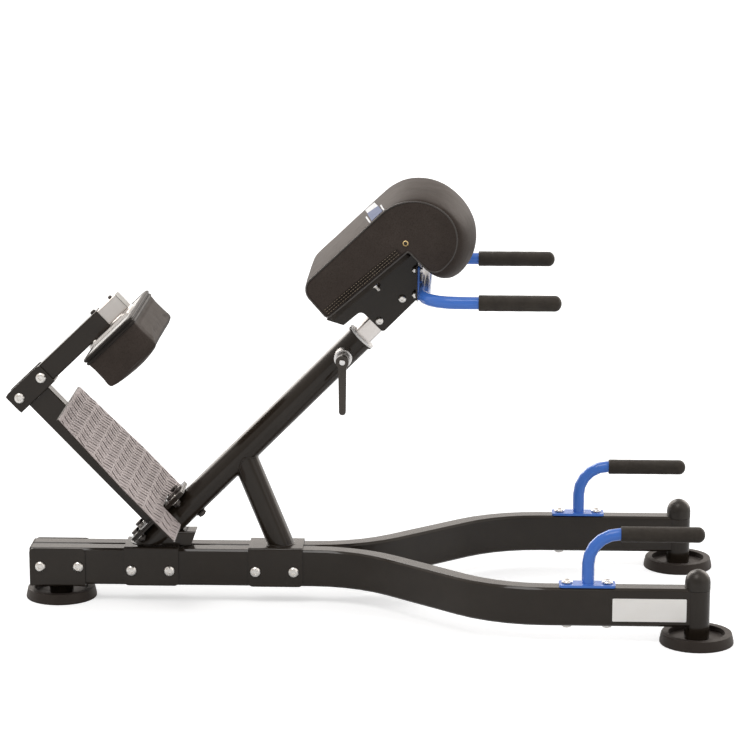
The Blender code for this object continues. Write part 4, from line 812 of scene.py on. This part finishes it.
def build_small_fasteners():
    """The screws whose holes the CAD has: handle plate, ankle plate, pad studs and post flange."""
    front = joined(washer(0.0066, 0.003, 0.001), moved(hex_bolt(0.0056, 0.0040), shifted(0, 0, 0.001)))
    back = joined(hex_nut(0.0058, 0.0048, 0.003), moved(thread(0.0029, 0.0030), shifted(0, 0, 0.0040)))
    face = FRONT_X + CLEAR + HANDLE_PLATE_T
    parts = []
    for y in (-HANDLE_BOLT_Y, HANDLE_BOLT_Y):
        for z in HANDLE_BOLTS_Z:
            parts.append(moved(front, shifted(face, y, z) @ FRONT))
            parts.append(moved(back, shifted(FRONT_X - SIDE_FLANGE_T, y, z) @ BACK))
    piece("handle_plate_bolts", joined(*parts), "zinc", "hip_carriage")
    stud = joined(washer(0.0085, 0.004, 0.0012),
                  moved(hex_nut(0.0072, 0.0055, 0.0039, 0.2), shifted(0, 0, 0.0012)),
                  moved(thread(0.0038, 0.0110), shifted(0, 0, 0.0060)))
    parts = []
    for y in (-STUD_Y, STUD_Y):
        parts.append(moved(stud, LEAN @ shifted(STUD_AT - PAD_LOW[0], y, -SIDE_FLANGE_UNDER) @ DOWN))
    piece("pad_studs", joined(*parts), "zinc", "hip_carriage")
    parts = []
    for u in ANKLE_SCREWS_U:
        for y in (-ANKLE_SCREW_Y, ANKLE_SCREW_Y):
            seat = POST @ shifted(u, y, ANKLE_PLATE_TOP)
            parts.append(moved(socket_bolt(0.0046, 0.0026, 0.0023, 0.004, 0.0016), seat))
    piece("ankle_plate_screws", joined(*parts), "zinc", "ankle_slider")
    parts, rings = [], []
    thick = 0.0014
    for along in MATE_BOLT_AT:
        for y in (-MATE_BOLT_Y, MATE_BOLT_Y):
            top = TUBE @ shifted(along, y, FLANGE_TOP)
            rings.append(moved(washer(0.0088, 0.004, thick), top))
            parts.append(moved(hex_bolt(0.0086, 0.0056), top @ shifted(0, 0, thick)))
            low = TUBE @ shifted(along, y, TUBE_R + CLEAR) @ DOWN
            rings.append(moved(washer(0.0098, 0.004, thick), low))
            parts.append(moved(hex_nut(0.0086, 0.0066, 0.0039, 0.35), low @ shifted(0, 0, thick)))
            parts.append(moved(thread(0.0038, 0.0040), low @ shifted(0, 0, 0.0074)))
    piece("post_flange_bolts", joined(*parts), "dark_zinc", "base_frame")
    piece("post_flange_washers", joined(*rings), "zinc", "base_frame")


def build_grips():
    """Foam sleeves with full round ends."""
    bore, lip, dome = HANDLE_R + CLEAR, 0.0016, 0.0120
    for name in FINISHES["grip_foam"].split():
        low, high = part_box(name)
        length = high.x - low.x
        profile = [(bore, 0.0100), (bore, 0.0), (0.0126, 0.0), (0.0136, 0.0005), (GRIP_R, lip)]
        profile += [(GRIP_R + 0.0001 * math.sin(k * 1.9), lip + (length - dome - lip) * k / 14)
                    for k in range(1, 14)]
        profile += [(GRIP_R * math.cos(a), length - dome + dome * math.sin(a))
                    for a in (math.radians(d) for d in range(0, 90, 9))]
        profile += [(0.0, length)]
        place = shifted(low.x, (low.y + high.y) / 2, (low.z + high.z) / 2) @ FRONT
        body = "hip_carriage" if name.startswith("hip") else "base_frame"
        made = piece(name + "_sleeve", turned(profile), "grip_foam", body, place=place)
        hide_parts(name)


# Pads

def surface(mesh):
    """The mesh as a form that points and rays can be laid onto."""
    return BVHTree.FromPolygons([v.co.copy() for v in mesh.vertices],
                                [tuple(f.vertices) for f in mesh.polygons])


def changed(mesh, kind, **settings):
    """The mesh as one modifier leaves it."""
    holder = bpy.data.objects.new("holder", mesh)
    bpy.context.scene.collection.objects.link(holder)
    change = holder.modifiers.new("change", kind)
    for key, value in settings.items():
        setattr(change, key, value)
    bpy.context.view_layer.update()
    graph = bpy.context.evaluated_depsgraph_get()
    result = bpy.data.meshes.new_from_object(holder.evaluated_get(graph))
    bpy.data.objects.remove(holder, do_unlink=True)
    return result


def remeshed(mesh, voxel):
    """Even quads over the same form, laid back onto its faces."""
    form = surface(mesh)
    result = changed(mesh, "REMESH", mode="VOXEL", voxel_size=voxel)
    for vertex in result.vertices:
        vertex.co = form.find_nearest(vertex.co)[0]
    return result


def swollen(mesh, held, cap):
    """Let the cover swell as cloth under pressure, with held points fixed, no point moving past the cap."""
    frames = 20
    scene = bpy.context.scene
    holder = bpy.data.objects.new("cloth_holder", mesh)
    scene.collection.objects.link(holder)
    group = holder.vertex_groups.new(name="held")
    for index, weight in held:
        group.add([index], weight, "REPLACE")
    cloth = holder.modifiers.new("cloth", "CLOTH")
    settings = cloth.settings
    settings.quality = 5
    settings.mass = 0.3
    settings.tension_stiffness = 15
    settings.compression_stiffness = 15
    settings.shear_stiffness = 5
    settings.bending_stiffness = 0.5
    settings.use_pressure = True
    settings.uniform_pressure_force = 4.0
    settings.effector_weights.gravity = 0
    settings.vertex_group_mass = "held"
    cloth.point_cache.frame_start = 1
    cloth.point_cache.frame_end = frames
    start = [v.co.copy() for v in mesh.vertices]
    for step in range(1, frames + 1):
        scene.frame_set(step)
    graph = bpy.context.evaluated_depsgraph_get()
    shaped = holder.evaluated_get(graph).data
    ends = [v.co.copy() for v in shaped.vertices]
    scene.frame_set(1)
    holder.modifiers.clear()
    bpy.data.objects.remove(holder, do_unlink=True)
    for vertex, a, b in zip(mesh.vertices, start, ends):
        step = b - a
        if step.length > cap:
            step *= cap / step.length
        vertex.co = a + step
    return mesh


def smoothed(mesh, relax):
    """The mesh relaxed that many times, then subdivided once."""
    bm = bmesh.new()
    bm.from_mesh(mesh)
    for _ in range(relax):
        bmesh.ops.smooth_vert(bm, verts=bm.verts, factor=0.5, use_axis_x=True, use_axis_y=True,
                              use_axis_z=True)
    bm.to_mesh(mesh)
    bm.free()
    return changed(mesh, "SUBSURF", levels=1, render_levels=1)


def wrinkle(mesh):
    """Very shallow unevenness of stretched vinyl over foam."""
    normals = [v.normal.copy() for v in mesh.vertices]
    for vertex, normal in zip(mesh.vertices, normals):
        vertex.co += normal * 0.0005 * noise.noise(vertex.co * 22.0)


def pad_line(s):
    """Height of the hip pad's underside above the slide axis."""
    return PAD_LOW[1] - math.tan(PAD_TILT) * (s - PAD_LOW[0])


def hip_outline(swell, inset):
    """Side view of the hip pad; the inset shrinks the free sides."""
    roll = ROLL_CROWN * swell - inset
    top = PAD_LOW[1] + PAD_THICK + TOP_CROWN * swell - inset
    front = PAD_FRONT + roll
    low = ROLL_BOTTOM - ROLL_LOW_CROWN * swell + inset
    notch = PAD_NOTCH + inset
    return rounded([
        (PAD_LOW[0] + inset, PAD_LOW[1], 0.007),
        (notch, pad_line(notch), 0.003),
        (notch, low, ROLL_BACK_R + max(roll, 0) * 0.3),
        (front, low, ROLL_FRONT_R + roll),
        (front, top - PAD_TOP_DROP, ROLL_TOP_R + roll * 0.7),
        (PAD_LOW[0] + inset + PAD_LEAN, top, PAD_TAIL_R),
    ], 14)


def patch(form, corners, lift=0.0005):
    """A thin sheet laid on the pad's top between four (s, y) corners."""
    steps = 10
    a, b, c, d = (Vector(p) for p in corners)
    rings = []
    for i in range(steps + 1):
        start, end = a.lerp(d, i / steps), b.lerp(c, i / steps)
        line = []
        for k in range(steps + 1):
            s, y = start.lerp(end, k / steps)
            line.append(form.ray_cast(Vector((s, y, 0.3)), Vector((0, 0, -1)))[0])
        upper = [p + Vector((0, 0, lift)) for p in line]
        lower = [p - Vector((0, 0, 0.0012)) for p in reversed(line)]
        rings.append(upper + lower)
    return mesh_from(rings)


def build_tag(cover):
    """The plain two-coloured tag on the pad's top, with a narrow bar beside each long edge of its blue."""
    form = surface(cover)
    near = ((0.188, -0.130), (0.2140, -0.130))
    middle = ((0.176, -0.015), (0.2020, -0.035))
    far = ((0.165, 0.075), (0.189, 0.060))
    blue = patch(form, (*near, *reversed(middle)))
    white = patch(form, (*middle, *reversed(far)))
    bars = [patch(form, ((0.1825, -0.131), (0.1855, -0.131), (0.1765, -0.050), (0.1735, -0.050)), 0.0006),
            patch(form, ((0.2155, -0.131), (0.2185, -0.131), (0.2100, -0.050), (0.2070, -0.050)), 0.0006)]
    piece("hip_pad_tag_blue", blue, "tag_blue", "hip_carriage", HIP, 30)
    piece("hip_pad_tag_white", joined(white, *bars), "tag_white", "hip_carriage", HIP, 30)


def build_hip_pad():
    """The cover of the carriage's pad, and its tag."""
    inset = 0.0015
    half = PAD_WIDTH / 2
    shares = [math.sin(math.radians(a)) for a in (90, 82, 74, 66, 56, 46, 34, 22, 11)]
    stations = [-q for q in shares] + [0] + list(reversed(shares))
    rings = []
    for q in stations:
        swell = max(0.0, 1 - q * q) ** 0.6
        side = hip_outline(swell, inset)
        rings.append([(s, q * (half - inset), n) for s, n in side])
    mesh = remeshed(mesh_from(rings), 0.005)
    held = []
    for v in mesh.vertices:
        s, y, n = v.co
        under = n < pad_line(s) + 0.012 and s < 0.200
        edge = abs(y) > half - 0.009
        weight = 1.0 if under else 0.85 if edge else 0.0
        if weight:
            held.append((v.index, weight))
    mesh = swollen(mesh, held, 0.005)
    wrinkle(mesh)
    mesh = smoothed(mesh, 2)
    build_tag(mesh)
    cover = piece("hip_pad_cover", mesh, "vinyl", "hip_carriage", place=HIP, angle=80)
    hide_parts("hip_pad")


def build_hip_trim():
    """Piping, three seams with their folds, and an eyelet with its vent, on each side of the hip pad; the
    folds are near black as painted crease shade.
    """
    half = PAD_WIDTH / 2
    outline = spaced([(s, 0, n) for s, n in hip_outline(0, 0.0030)], 0.004)
    for label, side in (("right", -1), ("left", 1)):
        path = [(p.x, side * (half - 0.0028), p.z) for p in outline]
        piece("hip_pad_piping_" + label, strand(path, 0.0015, 10, True), "welt", "hip_carriage", HIP)
        seams, folds = [], []
        face = side * (half - 0.0004)
        for rise in (0.0062, 0.0108, 0.0154):
            run = [(s, face, pad_line(s) + rise) for s in (0.016, 0.05, 0.10, 0.15, 0.186)]
            seams.append(stitches(run))
            # folds beside the stitches, near black as painted shade in the seam creases
            for offset in (-0.0010, 0.0010):
                fold = [(s, y - side * 0.0004, n + offset) for s, y, n in run]
                folds.append(strand(fold, 0.0006, 8, taper=1))
        piece("hip_pad_stitching_" + label, joined(*seams), "thread", "hip_carriage", HIP)
        piece("hip_pad_seam_folds_" + label, joined(*folds), "fold", "hip_carriage", HIP)
        ring = mesh_from([circle_ring(r, z, 28) for r, z in (
            (0.0030, -0.001), (0.0052, -0.001), (0.0052, 0.0006), (0.0044, 0.0014), (0.0034, 0.0010))], True)
        place = HIP @ shifted(0.2032, side * (half - 0.0006), 0.0801) @ (NEAR if side < 0 else FAR)
        piece("hip_pad_eyelet_" + label, ring, "brass", "hip_carriage", place)
        hole = turned([(0, -0.001), (0.0032, -0.001), (0.0030, 0.0003), (0, 0.0001)], 20)
        piece("hip_pad_vent_" + label, hole, "black_plastic", "hip_carriage", place)


def ankle_ring(shrink, corner, height, crown=0.0):
    """One ring of the ankle pad, drawn in by the shrink, its height falling towards the crown."""
    half_u = ANKLE_PAD_L / 2 - shrink
    half_y = ANKLE_PAD_W / 2 - shrink
    corners = [(half_u, half_y, corner), (-half_u, half_y, corner), (-half_u, -half_y, corner),
               (half_u, -half_y, corner)]
    ring = []
    for u, y in rounded(corners, 8):
        rise = 1 - ANKLE_END_DROP * (2 * u / ANKLE_PAD_L) ** 2
        rise *= 1 - ANKLE_SIDE_DROP * (2 * y / ANKLE_PAD_W) ** 2
        ring.append((u, y, height - crown * rise))
    return ring


def build_ankle_pad():
    """Cover, the rim that wraps the board, and the two thick pipings of the ankle pad."""
    inset = 0.0004
    edge = ANKLE_PAD_TOP - ANKLE_PAD_T + 0.0015
    shape = ((0.000, 0.009, ANKLE_PAD_TOP, 0), (0.0006, 0.009, ANKLE_PAD_TOP - 0.020, 0),
             (0.0000, 0.009, ANKLE_PAD_TOP - 0.042, 0), (-0.0014, 0.009, edge + 0.006, 0),
             (-0.0010, 0.009, edge + 0.0015, 0), (0.001, 0.009, edge - 0.0006, 0.04),
             (0.005, 0.009, edge - 0.0004, 0.25), (0.014, 0.010, edge, 0.56), (0.026, 0.011, edge, 0.80),
             (0.042, 0.010, edge, 0.95))
    rings = [ankle_ring(inset + share, corner, height, drop * ANKLE_PAD_CROWN)
             for share, corner, height, drop in shape]
    mesh = remeshed(mesh_from(rings), 0.0035)
    held = [(v.index, 1.0) for v in mesh.vertices if v.co.z > ANKLE_PAD_TOP - 0.012]
    mesh = swollen(mesh, held, 0.002)
    wrinkle(mesh)
    mesh = smoothed(mesh, 0)
    place = POST @ shifted(ANKLE_PAD_U + ANKLE_PAD_L / 2, 0, 0)
    cover = piece("ankle_pad_cover", mesh, "vinyl", "ankle_slider", place=place, angle=80)
    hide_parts("ankle_pad")
    low, high = ANKLE_PAD_TOP - 0.0030, ANKLE_BOARD_TOP + 0.0009
    rim = [ankle_ring(shrink, 0.010, height) for shrink, height in (
        (0.0004, low), (0.0000, (low + high) / 2), (0.0006, high - 0.0008), (0.0016, high), (0.0078, high),
        (0.0086, ANKLE_BOARD_TOP - 0.0002), (0.0037, ANKLE_BOARD_TOP - 0.0004), (0.0037, low))]
    piece("ankle_pad_rim", mesh_from(rim, True), "piping", "ankle_slider", place, 50)
    loops = []
    for drop, radius in ((0.0032, 0.0034), (0.0106, 0.0030)):
        ring = spaced(ankle_ring(0.0006, 0.010, ANKLE_BOARD_TOP - drop), 0.005)
        loops.append(strand(ring, radius, 10, True))
    piece("ankle_pad_piping", joined(*loops), "piping", "ankle_slider", place)


# Tread, welds and the empty plate

# The rubber sheet: its face, lower and upper ends, notch, half widths, and where it tapers
TREAD_FACE = 0.0296
TREAD_LOW, TREAD_HIGH = -0.0425, 0.2570
NOTCH_HALF, NOTCH_TOP = 0.0475, 0.0045
WIDE_HALF, NARROW_HALF = 0.1565, 0.1345
TAPER_FROM, TAPER_LENGTH = 0.0922, 0.168


def on_tread(y, t):
    """Whether a place is on the rubber sheet, which tapers and straddles the main tube."""
    if not TREAD_LOW < t < TREAD_HIGH:
        return False
    if t < NOTCH_TOP and abs(y) < NOTCH_HALF:
        return False
    taper = max(0.0, (t - TAPER_FROM) / TAPER_LENGTH)
    return abs(y) < WIDE_HALF + taper * (NARROW_HALF - WIDE_HALF)


def build_tread():
    """Raised arcs on the foot plate's rubber sheet in rows that lean alternately, coloured dark as painted
    shade.
    """
    face = TREAD_FACE + 0.0001
    row_step, column_step = 0.0430, 0.0338
    strong, middle, faint = [], [], []
    for lean, first_y, first_t, bend, group in ((1, -0.0998, 0.0705, 0.0022, strong),
                                                (-1, -0.0860, 0.0503, 0.0012, middle)):
        for row, column, half in itertools.product(range(-3, 6), range(-3, 9), (0, 1)):
            y = first_y + (column + half / 2) * column_step
            t = first_t + row * row_step
            points = []
            for k in range(9):
                q = k / 4 - 1
                bow = (1 - q * q) * bend
                across = y + lean * (0.0084 * q - bow)
                along = t + 0.0102 * q + lean * bow
                if on_tread(across, along):
                    points.append((face, across, along))
            if len(points) > 3:
                (faint if half else group).append(strand(points, 0.0013, 6, taper=2))
    # painted shade: one lean darkest, the other lighter, the half-way rows faint
    piece("foot_tread_bars", joined(*strong), "tread_bar_shade_dark", "base_frame", POST)
    piece("foot_tread_back_bars", joined(*middle), "tread_bar_shade_mid", "base_frame", POST)
    piece("foot_tread_fine_bars", joined(*faint), "tread_fine", "base_frame", POST)


def bead(points, radius):
    """A weld bead along a closed line, rippled by its passes."""
    return strand(spaced(points, 0.0016), radius, 8, True, 0.16)


def foot_line(centre, along, across, height):
    """Where a round tube stands on a level face."""
    return [(centre + along * math.cos(a), across * math.sin(a), height)
            for a in (math.tau * k / 60 for k in range(60))]


def strut_top():
    """Where the strut's round meets the main tube's."""
    way = Vector((-math.sin(STRUT_LEAN), 0, math.cos(STRUT_LEAN)))
    side = Vector((math.cos(STRUT_LEAN), 0, math.sin(STRUT_LEAN)))
    along = Vector((math.cos(TUBE_TILT), 0, math.sin(TUBE_TILT)))
    points = []
    for k in range(60):
        a = math.tau * k / 60
        start = Vector((STRUT_X, STRUT_R * math.sin(a), SADDLE_TOP)) + STRUT_R * math.cos(a) * side
        gap = start - TUBE_FOOT
        gap -= gap.dot(along) * along
        step = way - way.dot(along) * along
        square, half = step.length_squared, gap.dot(step)
        reach = (-half - math.sqrt(half * half - square * (gap.length_squared - TUBE_R ** 2))) / square
        points.append(start + way * reach)
    return points


def build_welds():
    """Beads where the tubes are welded: main tube, strut and the two base handles."""
    thick, thin = 0.0017, 0.0013
    height = SADDLE_TOP + 0.0002
    tube = foot_line(TUBE_FOOT.x, TUBE_R / math.sin(TUBE_TILT), TUBE_R, height)
    strut = foot_line(STRUT_X, STRUT_R / math.cos(STRUT_LEAN), STRUT_R, height)
    beads = [bead(line, thick) for line in (tube, strut, strut_top())]
    piece("tube_welds", joined(*beads), "black_coat", "base_frame")
    radius = HANDLE_R + 0.0002
    ring = bead(foot_line(BASE_HANDLE_X, radius, radius, RAIL_TOP + CLEAR + BASE_PLATE_T), thin)
    rings = [moved(ring, shifted(0, y, 0)) for y in (-RAIL_FRONT_Y, RAIL_FRONT_Y)]
    piece("handle_welds", joined(*rings), "blue_coat", "base_frame")


def build_blank_plate():
    """The empty plate on the near rail, where the real bench has its printed sticker."""
    back, front, low, high, corner = 1.0695 - MIDDLE_X, 1.200 - MIDDLE_X, 0.042, 0.084, 0.002
    face = rounded([(x, z, corner) for x, z in ((back, low), (front, low), (front, high), (back, high))], 5)
    rings = [[(x, -RAIL_SIDE_Y - depth, z) for x, z in face] for depth in (0.0, 0.0003)]
    piece("blank_plate", mesh_from(rings), "label", "base_frame")


build_studio()
build_materials()
dress_cad()
ease_cad()
build_bolts()
build_small_fasteners()
build_grips()
build_hip_pad()
build_hip_trim()
build_ankle_pad()
build_tread()
build_welds()
build_blank_plate()
